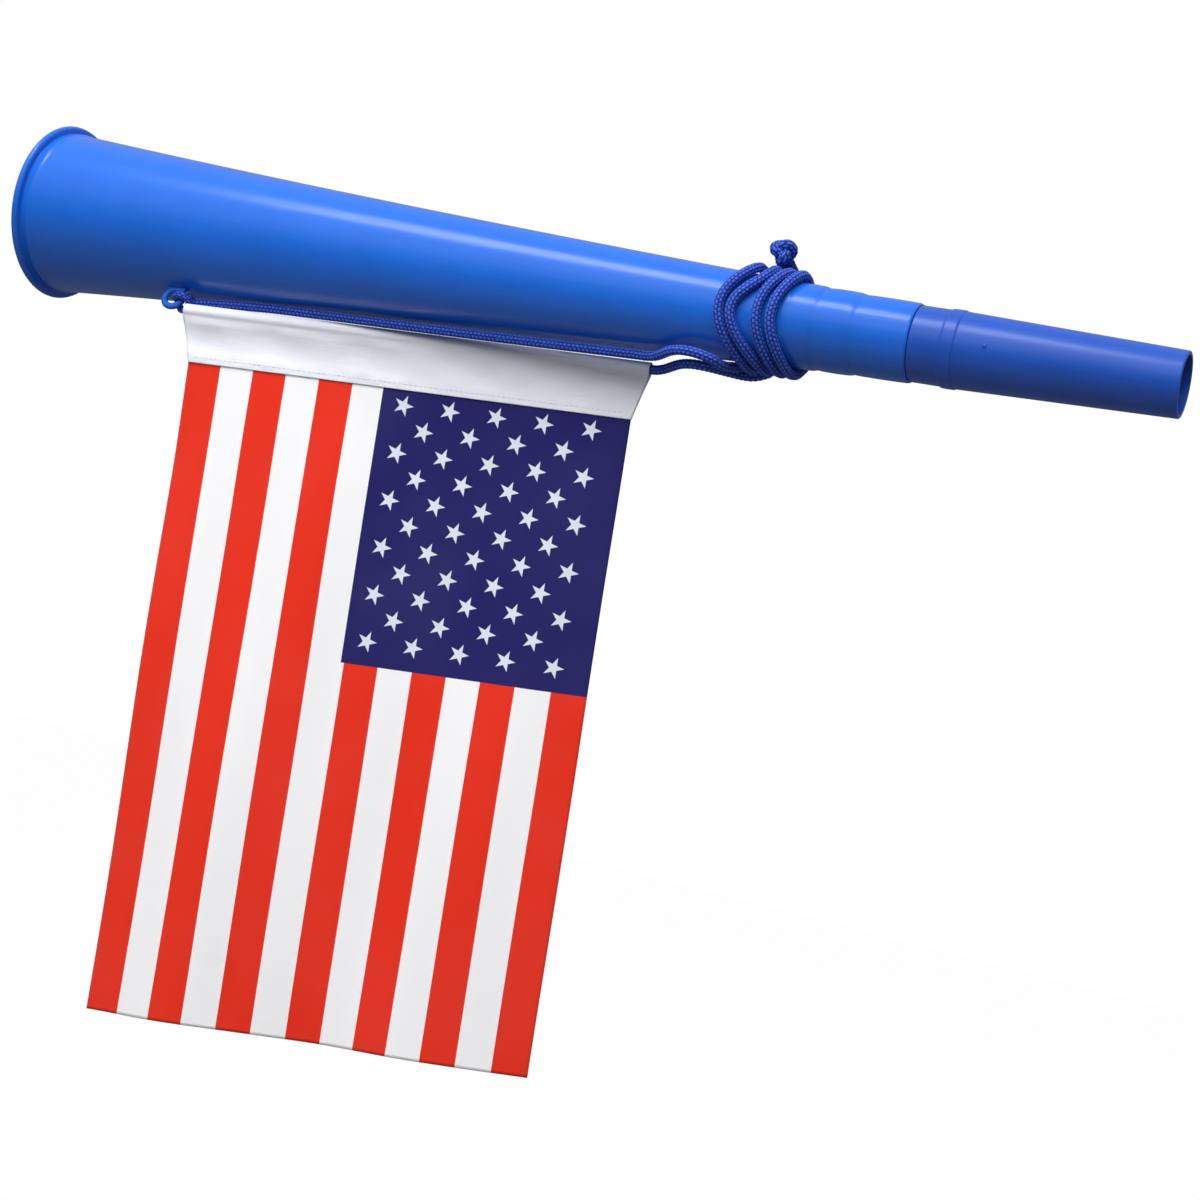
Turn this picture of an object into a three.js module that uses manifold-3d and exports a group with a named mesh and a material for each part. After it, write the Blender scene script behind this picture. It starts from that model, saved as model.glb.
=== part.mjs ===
// Stadium horn with a hanging flag.
// Millimetres, +Z up. The horn lies along X: its bell faces -X and its mouthpiece +X.
// The origin is on the horn's axis, in the middle of the stepped neck, where a hand holds it.

import * as THREE from 'three';
import { mergeVertices } from 'three/addons/utils/BufferGeometryUtils.js';
import Module from 'manifold-3d';

const wasm = await Module();
wasm.setup();

// Driving dimensions of the bell and its neck
const GRIP_TO_NECK_END = 35;
const NECK_STEP_LENGTHS = [17.5, 20, 29.5];
const NECK_STEP_RADII = [[22.1, 21.9], [21.5, 21.3], [20.7, 20.4]];
const NECK_STEP_SLOPE_LENGTH = 1.2;
const CONE_LENGTH = 446;
const CONE_BELL_RADIUS = 45.6;
const CONE_NECK_RADIUS = 22.3;
const FLARE_POINT_FROM_NECK = 258;
const FLARE_POINT_RADIUS = 32.1;
const CONE_STATIONS = 12;
const BELL_WALL = 1.8;
const RIM_LENGTH = 12;
const RIM_BEAD_RADIUS = 2.0;
const RIM_BEAD_STAND = 4.7;
const RIM_GROOVE_LENGTH = 3;

// Driving dimensions of the mouthpiece and of the cup inside it
const FIT_CLEARANCE = 0.3;
const SEAT_GAP = 0.3;
const NECK_BORE_RADIUS = 18.3;
const NECK_BORE_LENGTH = 30;
const SPIGOT_LENGTH = 24;
const MOUTHPIECE_WALL = 2.0;
const SHOULDER_LENGTH = 15.7;
const SHOULDER_RADIUS = 19.5;
const RIDGE_LENGTH = 7.7;
const RIDGE_RADIUS = 20.1;
const RIDGE_EDGE = 0.8;
const TUBE_LENGTH = 111.3;
const TUBE_START_RADIUS = 19.6;
const TUBE_END_RADIUS = 16.7;
const TUBE_EDGE = 0.5;
const CUP_DEPTH_IN_TUBE = 4;
const CUP_SEAT_LENGTH = 12;
const CUP_FUNNEL_LENGTH = 34;
const CUP_TAIL_LENGTH = 18;
const CUP_THROAT_RADIUS = 6;
const CUP_TAIL_RADIUS = 7.5;
const CUP_WALL = 1.5;

// Driving dimensions of the eyelet and of the cord
const EYELET_FROM_BELL_END = 99.8;
const EYELET_TURN = 155;
const EYELET_RING_RADIUS = 5.8;
const EYELET_BAR_RADIUS = 1.9;
const EYELET_STAND = 5.5;
const CORD_DIAMETER = 5.5;
const HITCH_TURN = -3;
const HITCH_CORD_RADIUS = 1.6;
const HITCH_CLEARANCE = 0.45;

// The winding round the neck: turns are counted from the first time it passes the top
const WINDING_START = -0.5;
const WINDING_END = 3.6;
const WINDING_PITCH = 9.5;
const WINDING_TIGHTENING = 0.5;
const WINDING_TOP_FROM_NECK_END = 89.3;
const WINDING_CLEARANCE = 0.5;
const WINDING_STEPS_PER_TURN = 24;
const WINDING_SIDES = 6;
const FRONT_BOWS = [12.0, 14.2, 8.1, 7.1];
const UPPER_BOW_SHARPNESS = [2.7, 5.0, 2.5, 2.7];
const LOWER_BOW_SHARPNESS = [2.5, 2.5, 2.4, 2.7];
const KNOT_FROM_NECK_START = -13;
const KNOT_LOOP_RADIUS = 3.9;
const KNOT_CORD_RADIUS = 2.6;
const KNOT_HEIGHT_RATIO = 1.05;

// Driving dimensions of the flag
const SLEEVE_LEFT_FROM_EYELET = 10.4;
const SLEEVE_LEFT_PLACE = [-20.8, -47.0];
const SLEEVE_RIGHT_FROM_NECK_START = -77.3;
const SLEEVE_RIGHT_PLACE = [13.4, -33.4];
const SLEEVE_SLACK = 0.35;
const HEADER_CLOTH = 0.75;
const HEADER_DROP = 28.6;
const HEADER_OVERHANG = 6.5;
const FIELD_LENGTH = 361.5;
const FIELD_CLOTH = 0.8;
const SEAM_GAP = 0.3;
const FOLD_DEPTH = 3.5;
const FOLDS_ACROSS = 1.7;
const FOLD_START = 7;
const HEM_SLANT = 6.8;

// Numbers of facets
const ROUND_SEGMENTS = 48;
const CORD_SIDES = 8;

const blueGloss = { color: 0x1f66d6, roughness: 0.22, metalness: 0 };
const blueSatin = { color: 0x2f49b4, roughness: 0.35, metalness: 0 };
const cordBlue = { color: 0x2b3fa8, roughness: 0.85, metalness: 0 };
const headerWhite = { color: 0xe3e6f0, roughness: 0.9, metalness: 0 };
const fieldWhite = { color: 0xf4f4f6, roughness: 0.85, metalness: 0 };

const horn = new THREE.Group();

function addMesh(parent, name, geometry, finish) {
  const mesh = new THREE.Mesh(geometry, new THREE.MeshStandardMaterial(finish));
  mesh.name = name;
  parent.add(mesh);
  return mesh;
}

// A body turned about the X axis, from a closed outline of [x, radius] points
function turned(outline) {
  const points = [...outline, outline[0]].map(([x, radius]) => new THREE.Vector2(radius, x));
  const geometry = new THREE.LatheGeometry(points, ROUND_SEGMENTS);
  geometry.rotateZ(-Math.PI / 2);
  return geometry;
}

function sectionCircle(radius, sides) {
  const corners = [];
  for (let i = 0; i < sides; i += 1) {
    const angle = (i / sides) * 2 * Math.PI;
    corners.push(new THREE.Vector2(radius * Math.cos(angle), radius * Math.sin(angle)));
  }
  return new THREE.Shape(corners);
}

function cordTube(points, radius, sides, steps) {
  const route = new THREE.CatmullRomCurve3(points, false, 'centripetal');
  return new THREE.ExtrudeGeometry(sectionCircle(radius, sides), { steps, extrudePath: route, bevelEnabled: false });
}

function toSolid(geometry) {
  const bare = geometry.clone();
  bare.deleteAttribute('normal');
  bare.deleteAttribute('uv');
  const merged = mergeVertices(bare, 1e-4);
  const mesh = new wasm.Mesh({
    numProp: 3,
    vertProperties: Float32Array.from(merged.attributes.position.array),
    triVerts: Uint32Array.from(merged.index.array),
  });
  return new wasm.Manifold(mesh);
}

function toGeometry(solid) {
  const mesh = solid.getMesh();
  const geometry = new THREE.BufferGeometry();
  geometry.setAttribute('position', new THREE.BufferAttribute(mesh.vertProperties, 3));
  geometry.setIndex(new THREE.BufferAttribute(mesh.triVerts, 1));
  geometry.computeVertexNormals();
  return geometry;
}

// Places along X that follow from the lengths
const neckEnd = GRIP_TO_NECK_END;
const neckLength = NECK_STEP_LENGTHS.reduce((sum, length) => sum + length, 0);
const neckStart = neckEnd - neckLength;
const coneStart = neckStart - CONE_LENGTH;
const bellEnd = coneStart - RIM_LENGTH;
const cordRadius = CORD_DIAMETER / 2;

// The cone flares gently: its outline is a quadratic curve from the rim to the neck
const flare = new THREE.QuadraticBezierCurve(
  new THREE.Vector2(coneStart, CONE_BELL_RADIUS),
  new THREE.Vector2(neckStart - FLARE_POINT_FROM_NECK, FLARE_POINT_RADIUS),
  new THREE.Vector2(neckStart, CONE_NECK_RADIUS),
);

// Outer radius of the horn at a place along its axis, from the cone to the neck's end
function outerRadius(x) {
  if (x >= neckStart) {
    let start = neckStart;
    for (let i = 0; i < NECK_STEP_LENGTHS.length; i += 1) {
      const end = start + NECK_STEP_LENGTHS[i];
      if (x <= end || i === NECK_STEP_LENGTHS.length - 1) {
        return NECK_STEP_RADII[i][0];
      }
      start = end;
    }
  }
  let low = 0;
  let high = 1;
  for (let i = 0; i < 40; i += 1) {
    const middle = (low + high) / 2;
    if (flare.getPoint(middle).x < x) {
      low = middle;
    } else {
      high = middle;
    }
  }
  return flare.getPoint(low).y;
}

// Bell: rolled rim, flared cone and stepped neck in one thin wall
function bellOutline() {
  const beadCentre = CONE_BELL_RADIUS + RIM_BEAD_STAND - RIM_BEAD_RADIUS;
  const outside = [];
  for (let i = 0; i <= 6; i += 1) {
    const angle = Math.PI - (i / 6) * Math.PI;
    outside.push([
      bellEnd + RIM_BEAD_RADIUS + RIM_BEAD_RADIUS * Math.cos(angle),
      beadCentre + RIM_BEAD_RADIUS * Math.sin(angle),
    ]);
  }
  const grooveStart = bellEnd + 2 * RIM_BEAD_RADIUS;
  outside.push([grooveStart + RIM_GROOVE_LENGTH / 2, CONE_BELL_RADIUS + 0.6]);
  outside.push([grooveStart + RIM_GROOVE_LENGTH, CONE_BELL_RADIUS + 0.3]);
  const cone = flare.getPoints(CONE_STATIONS).map((point) => [point.x, point.y]);
  outside.push(...cone);
  let start = neckStart;
  NECK_STEP_LENGTHS.forEach((length, i) => {
    const [startRadius, endRadius] = NECK_STEP_RADII[i];
    outside.push([start + NECK_STEP_SLOPE_LENGTH, startRadius]);
    outside.push([start + length, endRadius]);
    start += length;
  });
  const inside = [[neckEnd, NECK_BORE_RADIUS], [neckEnd - NECK_BORE_LENGTH, NECK_BORE_RADIUS]];
  cone.slice().reverse().forEach(([x, radius]) => inside.push([x, radius - BELL_WALL]));
  inside.push([bellEnd, CONE_BELL_RADIUS - BELL_WALL + 0.4]);
  return [...outside, ...inside];
}

addMesh(horn, 'horn_bell', turned(bellOutline()), blueGloss);

// Mouthpiece: a spigot in the neck's bore, a shoulder against the neck's end, a ridge and a tapered tube
const shoulderStart = neckEnd + SEAT_GAP;
const ridgeStart = shoulderStart + SHOULDER_LENGTH;
const tubeStart = ridgeStart + RIDGE_LENGTH;
const tubeEnd = tubeStart + TUBE_LENGTH;
const spigotRadius = NECK_BORE_RADIUS - FIT_CLEARANCE;

function tubeInnerRadius(x) {
  const share = (x - tubeStart) / TUBE_LENGTH;
  return TUBE_START_RADIUS + (TUBE_END_RADIUS - TUBE_START_RADIUS) * share - MOUTHPIECE_WALL;
}

const mouthpieceOutline = [
  [shoulderStart - SPIGOT_LENGTH, spigotRadius],
  [shoulderStart, spigotRadius],
  [shoulderStart, SHOULDER_RADIUS],
  [ridgeStart, SHOULDER_RADIUS],
  [ridgeStart + RIDGE_EDGE, RIDGE_RADIUS],
  [tubeStart - RIDGE_EDGE, RIDGE_RADIUS],
  [tubeStart, TUBE_START_RADIUS],
  [tubeEnd - TUBE_EDGE, TUBE_END_RADIUS],
  [tubeEnd, TUBE_END_RADIUS - TUBE_EDGE],
  [tubeEnd, tubeInnerRadius(tubeEnd)],
  [tubeStart, tubeInnerRadius(tubeStart)],
  [shoulderStart, spigotRadius - MOUTHPIECE_WALL],
  [shoulderStart - SPIGOT_LENGTH, spigotRadius - MOUTHPIECE_WALL],
];
addMesh(horn, 'mouthpiece_tube', turned(mouthpieceOutline), blueSatin);

// Cup: a thin funnel seated inside the mouthpiece, with the throat that the player blows through
const cupEnd = tubeEnd - CUP_DEPTH_IN_TUBE;
const cupSeatStart = cupEnd - CUP_SEAT_LENGTH;
const throatAt = cupEnd - CUP_FUNNEL_LENGTH;
const cupTailStart = throatAt - CUP_TAIL_LENGTH;
const cupRimRadius = tubeInnerRadius(cupEnd) - FIT_CLEARANCE;
const cupSeatRadius = tubeInnerRadius(cupSeatStart) - FIT_CLEARANCE;
const funnel = new THREE.QuadraticBezierCurve(
  new THREE.Vector2(cupEnd, cupRimRadius - CUP_WALL),
  new THREE.Vector2(cupEnd - CUP_FUNNEL_LENGTH * 0.45, CUP_THROAT_RADIUS + 3.5),
  new THREE.Vector2(throatAt, CUP_THROAT_RADIUS),
);
const cupInside = funnel.getPoints(6).map((point) => [point.x, point.y]);
const cupOutside = cupInside.slice(3).map(([x, radius]) => [x - CUP_WALL * 0.5, radius + CUP_WALL]);
const cupOutline = [
  [cupTailStart, CUP_TAIL_RADIUS + CUP_WALL],
  ...cupOutside.reverse(),
  [cupSeatStart - 1.5, cupSeatRadius - 2.5],
  [cupSeatStart, cupSeatRadius],
  [cupEnd, cupRimRadius],
  ...cupInside,
  [cupTailStart, CUP_TAIL_RADIUS],
];
addMesh(horn, 'mouthpiece_cup', turned(cupOutline), blueSatin);

// Eyelet: a ring that stands on the bell's lower front, with its hole across the horn
const eyeletX = bellEnd + EYELET_FROM_BELL_END;
const eyeletAngle = THREE.MathUtils.degToRad(EYELET_TURN);
const outward = new THREE.Vector3(0, -Math.sin(eyeletAngle), Math.cos(eyeletAngle));
const across = new THREE.Vector3().crossVectors(new THREE.Vector3(1, 0, 0), outward);
const eyeletCentre = outward.clone().multiplyScalar(outerRadius(eyeletX) + EYELET_STAND);
eyeletCentre.x = eyeletX;

const eyelet = new THREE.Group();
eyelet.position.copy(eyeletCentre);
eyelet.quaternion.setFromRotationMatrix(
  new THREE.Matrix4().makeBasis(new THREE.Vector3(1, 0, 0), outward, across),
);
horn.add(eyelet);

function eyeletGeometry() {
  const ring = new THREE.TorusGeometry(EYELET_RING_RADIUS, EYELET_BAR_RADIUS, 8, 24);
  const footHeight = EYELET_STAND - EYELET_RING_RADIUS + EYELET_BAR_RADIUS + 1.2;
  const foot = new THREE.BoxGeometry(2 * EYELET_RING_RADIUS, footHeight, 2 * EYELET_BAR_RADIUS);
  foot.translate(0, -EYELET_STAND + footHeight / 2, 0);
  const bore = new THREE.CylinderGeometry(
    EYELET_RING_RADIUS - EYELET_BAR_RADIUS, EYELET_RING_RADIUS - EYELET_BAR_RADIUS, 4 * EYELET_BAR_RADIUS, 24,
  );
  bore.rotateX(Math.PI / 2);
  const joined = toSolid(foot).subtract(toSolid(bore)).add(toSolid(ring));
  // The foot follows the cone that it stands on, just clear of it
  const seat = new THREE.CylinderGeometry(
    outerRadius(eyeletX + 20) + SEAT_GAP, outerRadius(eyeletX - 20) + SEAT_GAP, 40, 96,
  );
  seat.rotateZ(-Math.PI / 2);
  seat.translate(0, -outerRadius(eyeletX) - EYELET_STAND, 0);
  return toGeometry(joined.subtract(toSolid(seat)));
}

addMesh(eyelet, 'cord_eyelet', eyeletGeometry(), blueGloss);

// Hitch: one turn of cord drawn tight round the eyelet's bar
const hitchAngle = THREE.MathUtils.degToRad(HITCH_TURN);
const hitchRadius = EYELET_BAR_RADIUS + HITCH_CLEARANCE + HITCH_CORD_RADIUS;
const hitch = new THREE.TorusGeometry(hitchRadius, HITCH_CORD_RADIUS, 8, 20);
hitch.rotateX(Math.PI / 2);
hitch.translate(EYELET_RING_RADIUS, 0, 0);
hitch.rotateZ(hitchAngle);
addMesh(eyelet, 'eyelet_hitch', hitch, cordBlue);

// Winding: one unbroken cord round the neck, whose turns bow towards the bell in front
const windingTop = neckEnd - WINDING_TOP_FROM_NECK_END;

function windingPoint(turn) {
  const angle = turn * 2 * Math.PI;
  const strand = Math.max(0, Math.min(FRONT_BOWS.length - 1, Math.floor(turn)));
  const sharpness = Math.cos(angle) > 0 ? UPPER_BOW_SHARPNESS[strand] : LOWER_BOW_SHARPNESS[strand];
  const front = Math.max(0, Math.sin(angle)) ** sharpness;
  const run = WINDING_PITCH * turn - WINDING_TIGHTENING * turn ** 2;
  const x = windingTop + run - (turn > 0 ? FRONT_BOWS[strand] * front : 0);
  const radius = outerRadius(x) + WINDING_CLEARANCE + cordRadius;
  return new THREE.Vector3(x, -radius * Math.sin(angle), radius * Math.cos(angle));
}

// Turns a list of hand-placed points, whose X is counted from a start, into places
function placed(points, start) {
  return points.map(([x, y, z]) => new THREE.Vector3(start + x, y, z));
}

// The winding's last stretch climbs over its own turns, up the back, to the knot
const windingFinish = placed([
  [5.4, 20.0, -17.4], [5.1, 25.2, -12.8], [4.1, 29.4, -6.8], [2.1, 31.5, 0.5],
  [-0.4, 30.6, 8.2], [-3.1, 27.7, 15.4], [-5.8, 23.3, 21.7], [-8.2, 18.0, 26.6],
  [-10.2, 12.9, 30.3], [-11.05, 6.6, 34.3],
], neckStart);

function windingRoute() {
  const points = [];
  const steps = Math.round((WINDING_END - WINDING_START) * WINDING_STEPS_PER_TURN);
  for (let i = 0; i <= steps; i += 1) {
    points.push(windingPoint(WINDING_START + ((WINDING_END - WINDING_START) * i) / steps));
  }
  const inward = points[0].clone().sub(points[1]).normalize();
  points.unshift(points[0].clone().addScaledVector(inward, CORD_DIAMETER));
  return [...points, ...windingFinish];
}

// Least gap between stretches of one cord that lie more than three diameters apart along it
function leastGap(points, diameter) {
  const route = new THREE.CatmullRomCurve3(points, false, 'centripetal');
  const samples = route.getSpacedPoints(900);
  const spacing = route.getLength() / 900;
  const apart = Math.ceil((3 * diameter) / spacing);
  let least = Infinity;
  for (let i = 0; i < samples.length; i += 1) {
    for (let j = i + apart; j < samples.length; j += 1) {
      least = Math.min(least, samples[i].distanceTo(samples[j]));
    }
  }
  return least - diameter;
}

const winding = windingRoute();
console.log(`neck winding: least gap to itself ${leastGap(winding, CORD_DIAMETER).toFixed(2)} mm`);
addMesh(horn, 'cord_neck_winding', cordTube(winding, cordRadius, WINDING_SIDES, winding.length - 1), cordBlue);

// Straight stretch between two places, without its ends
function between(start, end, count) {
  const places = [];
  for (let i = 1; i < count; i += 1) {
    places.push(start.clone().lerp(end, i / count));
  }
  return places;
}

// Upper strand: from the hitch along the bell's underside, in a bight to the front, into the winding
const strandFromHitch = placed([
  [12.4, -15.2, -41.9], [15.4, -15.2, -41.5], [20.2, -15.0, -40.9], [27.2, -14.6, -40.1],
  [35.2, -14.2, -39.3], [45.2, -13.7, -38.5], [60.2, -13.0, -37.5],
], eyeletX);
const strandToWinding = placed([
  [-113, -7.4, -30.1], [-88, -6.9, -29.1], [-77.5, -6.9, -28.7], [-71.4, -7.8, -28.8],
  [-66.4, -10.6, -28.5], [-61.6, -14.6, -27.3], [-56.6, -18.2, -25.8], [-50.2, -21.2, -24.8],
  [-44.6, -21.8, -24.7], [-39.6, -21.2, -25.1], [-35.2, -19.4, -25.9], [-31.6, -16.9, -26.9],
  [-29.2, -13.6, -27.9],
], neckStart);
const windingEntry = winding[0].clone().sub(winding[1]).normalize();
const upperStrand = [
  ...strandFromHitch,
  ...between(strandFromHitch[6], strandToWinding[0], 5),
  ...strandToWinding,
  winding[0].clone().addScaledVector(windingEntry, SEAT_GAP + 4),
  winding[0].clone().addScaledVector(windingEntry, SEAT_GAP),
];
addMesh(horn, 'cord_upper_strand', cordTube(upperStrand, cordRadius, CORD_SIDES, 70), cordBlue);

// Sleeve strand: straight through the flag's sleeve, behind the winding and up the back to the knot
const sleeveLeft = new THREE.Vector3(eyeletX + SLEEVE_LEFT_FROM_EYELET, ...SLEEVE_LEFT_PLACE);
const sleeveRight = new THREE.Vector3(neckStart + SLEEVE_RIGHT_FROM_NECK_START, ...SLEEVE_RIGHT_PLACE);
const sleeveStart = sleeveLeft.clone().lerp(sleeveRight, 0.003);
const strandToKnot = placed([
  [-74.3, 13.8, -33.2], [-70.0, 13.4, -32.1], [-65.5, 11.4, -30.5], [-60.8, 8.2, -29.2],
  [-56.0, 5.4, -28.4], [-51.0, 4.1, -28.0], [-46.0, 4.8, -27.9], [-41.3, 7.2, -27.9],
  [-36.8, 10.6, -28.0], [-31.8, 14.0, -28.1], [-25.8, 16.1, -28.3],
  [-20.9, 17.1, -27.8], [-16.9, 19.1, -26.1], [-14.1, 22.3, -23.5], [-13.0, 25.8, -19.5],
  [-13.0, 28.9, -14.1], [-13.1, 31.3, -7.3], [-13.5, 32.1, 0.0], [-14.1, 31.3, 7.2],
  [-14.9, 29.0, 14.1], [-15.7, 25.1, 20.4], [-16.3, 20.1, 25.8], [-16.7, 15.2, 29.8],
  [-16.7, 10.8, 33.5], [-16.5, 6.5, 36.3],
], neckStart);
const sleeveStrand = [sleeveStart, ...between(sleeveStart, sleeveRight, 7), sleeveRight, ...strandToKnot];
addMesh(horn, 'cord_sleeve_strand', cordTube(sleeveStrand, cordRadius, CORD_SIDES, 78), cordBlue);

// Knot: the two ends of the cord tied in a ball of crossing loops on top of the winding
function knotGeometry() {
  let knot = toSolid(new THREE.SphereGeometry(KNOT_LOOP_RADIUS, 12, 8));
  for (let i = 0; i < 3; i += 1) {
    const loop = new THREE.TorusGeometry(KNOT_LOOP_RADIUS, KNOT_CORD_RADIUS, 8, 14);
    loop.rotateX(0.35);
    loop.rotateY(0.4 + (i * Math.PI) / 3);
    knot = knot.add(toSolid(loop));
  }
  const geometry = toGeometry(knot);
  geometry.scale(1, 1, KNOT_HEIGHT_RATIO);
  return geometry;
}

const knotX = neckStart + KNOT_FROM_NECK_START;
const knotHalfHeight = (KNOT_LOOP_RADIUS + KNOT_CORD_RADIUS) * KNOT_HEIGHT_RATIO;
const windingTopHeight = outerRadius(knotX) + WINDING_CLEARANCE + CORD_DIAMETER;
const knot = addMesh(horn, 'cord_knot', knotGeometry(), cordBlue);
knot.position.set(knotX, 0, windingTopHeight + SEAT_GAP + knotHalfHeight);

// Flag: it hangs from the cord line, square to it, and swings about it
const along = sleeveRight.clone().sub(sleeveLeft).normalize();
const down = new THREE.Vector3(0, 0, -1).addScaledVector(along, along.z).normalize();
const up = down.clone().negate();
const facing = new THREE.Vector3().crossVectors(up, along);
const sleeveLength = sleeveRight.distanceTo(sleeveLeft);
const fieldWidth = sleeveLength - 2 * HEADER_OVERHANG;

const flag = new THREE.Group();
flag.position.copy(sleeveLeft).add(sleeveRight).multiplyScalar(0.5);
flag.quaternion.setFromRotationMatrix(new THREE.Matrix4().makeBasis(along, facing, up));
horn.add(flag);

// How far down the cloth a place is, from 0 at the sleeve to 1 at the hem
function hangShare(drop) {
  return Math.max(0, (drop - FOLD_START) / (HEADER_DROP + FIELD_LENGTH - FOLD_START));
}

// Depth of the cloth's folds at a place across the flag and a drop below the cord
function foldDepth(acrossFlag, drop) {
  const share = hangShare(drop);
  const wave = Math.sin(2 * Math.PI * FOLDS_ACROSS * (acrossFlag / fieldWidth) + 0.6 + 0.9 * share);
  return FOLD_DEPTH * share ** 0.8 * wave;
}

// The cloth hangs in soft folds, and a little lower at its left than at its right
function foldCloth(geometry) {
  const position = geometry.attributes.position;
  for (let i = 0; i < position.count; i += 1) {
    const x = position.getX(i);
    const z = position.getZ(i);
    const slant = HEM_SLANT * hangShare(-z) * (x / (fieldWidth / 2));
    position.setY(i, position.getY(i) + foldDepth(x, -z));
    position.setZ(i, z + slant);
  }
  return geometry;
}

// Header: a doubled band of cloth whose top fold is a round tunnel for the cord
const tunnelRadius = cordRadius + SLEEVE_SLACK;
const tunnelOuterRadius = tunnelRadius + HEADER_CLOTH;

// The header narrows from its sleeve down to the field's width
function taperToField(geometry) {
  const position = geometry.attributes.position;
  const taperLength = HEADER_DROP - tunnelOuterRadius;
  for (let i = 0; i < position.count; i += 1) {
    const share = Math.max(0, (-position.getZ(i) - tunnelOuterRadius) / taperLength);
    position.setX(i, position.getX(i) * (1 - (share * HEADER_OVERHANG) / (sleeveLength / 2)));
  }
  return geometry;
}

function headerGeometry() {
  const outline = [];
  for (let i = 0; i <= 12; i += 1) {
    const angle = THREE.MathUtils.degToRad(-30 + (i / 12) * 240);
    outline.push(new THREE.Vector2(tunnelOuterRadius * Math.cos(angle), tunnelOuterRadius * Math.sin(angle)));
  }
  const hem = -(HEADER_DROP - SEAM_GAP / 2);
  const necks = [[2.2, -1.35], [1.25, -2.6], [1, -4.2]];
  const left = necks.map(([width, depth]) => new THREE.Vector2(-width * HEADER_CLOTH, depth * tunnelOuterRadius / 1.6));
  const skirtStations = [0.45, 0.72, 1].map((share) => new THREE.Vector2(-HEADER_CLOTH, hem * share));
  const leftSide = [...left, ...skirtStations];
  const rightSide = leftSide.map((point) => new THREE.Vector2(-point.x, point.y)).reverse();
  const shape = new THREE.Shape([...outline, ...leftSide, ...rightSide]);
  shape.holes.push(new THREE.Path(sectionCircle(tunnelRadius, 12).getPoints()));
  const geometry = new THREE.ExtrudeGeometry(shape, { depth: sleeveLength, steps: 18, bevelEnabled: false });
  // The section is drawn in depth and height, and its length is laid along the cord
  geometry.translate(0, 0, -sleeveLength / 2);
  geometry.applyMatrix4(new THREE.Matrix4().makeBasis(
    new THREE.Vector3(0, 1, 0), new THREE.Vector3(0, 0, 1), new THREE.Vector3(1, 0, 0),
  ));
  return foldCloth(taperToField(geometry));
}

addMesh(flag, 'flag_header', headerGeometry(), headerWhite);

// Field: one printed sheet sewn to the header's lower edge
function fieldGeometry() {
  const fieldTop = HEADER_DROP + SEAM_GAP / 2;
  const geometry = new THREE.BoxGeometry(fieldWidth, FIELD_CLOTH, FIELD_LENGTH - SEAM_GAP / 2, 22, 1, 12);
  geometry.translate(0, 0, -(fieldTop + (FIELD_LENGTH - SEAM_GAP / 2) / 2));
  return foldCloth(geometry);
}

addMesh(flag, 'flag_field', fieldGeometry(), fieldWhite);

export default horn;
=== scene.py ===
import logging
import math
from dataclasses import dataclass
from enum import Enum
from typing import Callable, Optional, Sequence, TypeVar, Union

import bmesh
import bpy
from mathutils import Matrix, Vector


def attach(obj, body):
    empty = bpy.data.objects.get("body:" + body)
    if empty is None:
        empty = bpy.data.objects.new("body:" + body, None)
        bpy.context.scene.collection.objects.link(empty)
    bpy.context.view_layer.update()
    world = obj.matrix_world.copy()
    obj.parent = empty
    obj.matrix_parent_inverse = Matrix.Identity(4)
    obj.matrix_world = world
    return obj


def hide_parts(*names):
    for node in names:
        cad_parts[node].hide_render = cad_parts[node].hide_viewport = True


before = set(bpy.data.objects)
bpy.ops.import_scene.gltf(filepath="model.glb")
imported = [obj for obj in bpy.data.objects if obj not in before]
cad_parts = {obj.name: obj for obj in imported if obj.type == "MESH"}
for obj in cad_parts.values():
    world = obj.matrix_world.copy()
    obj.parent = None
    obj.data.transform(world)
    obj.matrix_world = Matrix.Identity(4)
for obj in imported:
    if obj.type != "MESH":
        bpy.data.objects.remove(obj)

logging.basicConfig(level=logging.INFO, format="%(message)s")
log = logging.getLogger("stadium_horn")

MM = 0.001
TAU = 2 * math.pi
SAME_PLACE = 1e-6
FINE_PER_STEP = 3
LEAST_FINE = 4
ALONG_HORN = Vector((1, 0, 0))
Colour = tuple[float, float, float, float]
Point = tuple[float, float, float]
Corner = tuple[float, float, float]
Pair = tuple[float, float]
Value = TypeVar("Value", float, Vector)
Material = bpy.types.Material
Piece = bpy.types.Object
Shape = bmesh.types.BMesh


class Body(Enum):
    """The bodies that the pieces hang from, each as an empty."""

    HORN = "horn"
    MOUTHPIECE = "mouthpiece"
    FLAG = "flag"


class Crease(Enum):
    """The angle in degrees past which an edge stays sharp, for each kind of surface."""

    BLENDED = 32
    MOULDED = 40
    STITCHED = 60
    WOVEN = 80
    BRAIDED = 120


def two_term_sum(operation: str, swapped: bool = False) -> Callable:
    """Makes a method that works out one sum of a signal and another term.

    Args:
        operation: the sum's name.
        swapped: whether the other term comes first.

    Returns:
        The method.
    """

    def method(self: "Signal", other: "Term") -> "Signal":
        """Adds the sum's node."""
        terms = (other, self) if swapped else (self, other)
        return self.maker.math(operation, *terms)

    return method


def one_term_sum(operation: str) -> Callable:
    """Makes a method that works out one function of a signal.

    Args:
        operation: the function's name.

    Returns:
        The method.
    """

    def method(self: "Signal") -> "Signal":
        """Adds the function's node."""
        return self.maker.math(operation, self)

    return method


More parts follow.
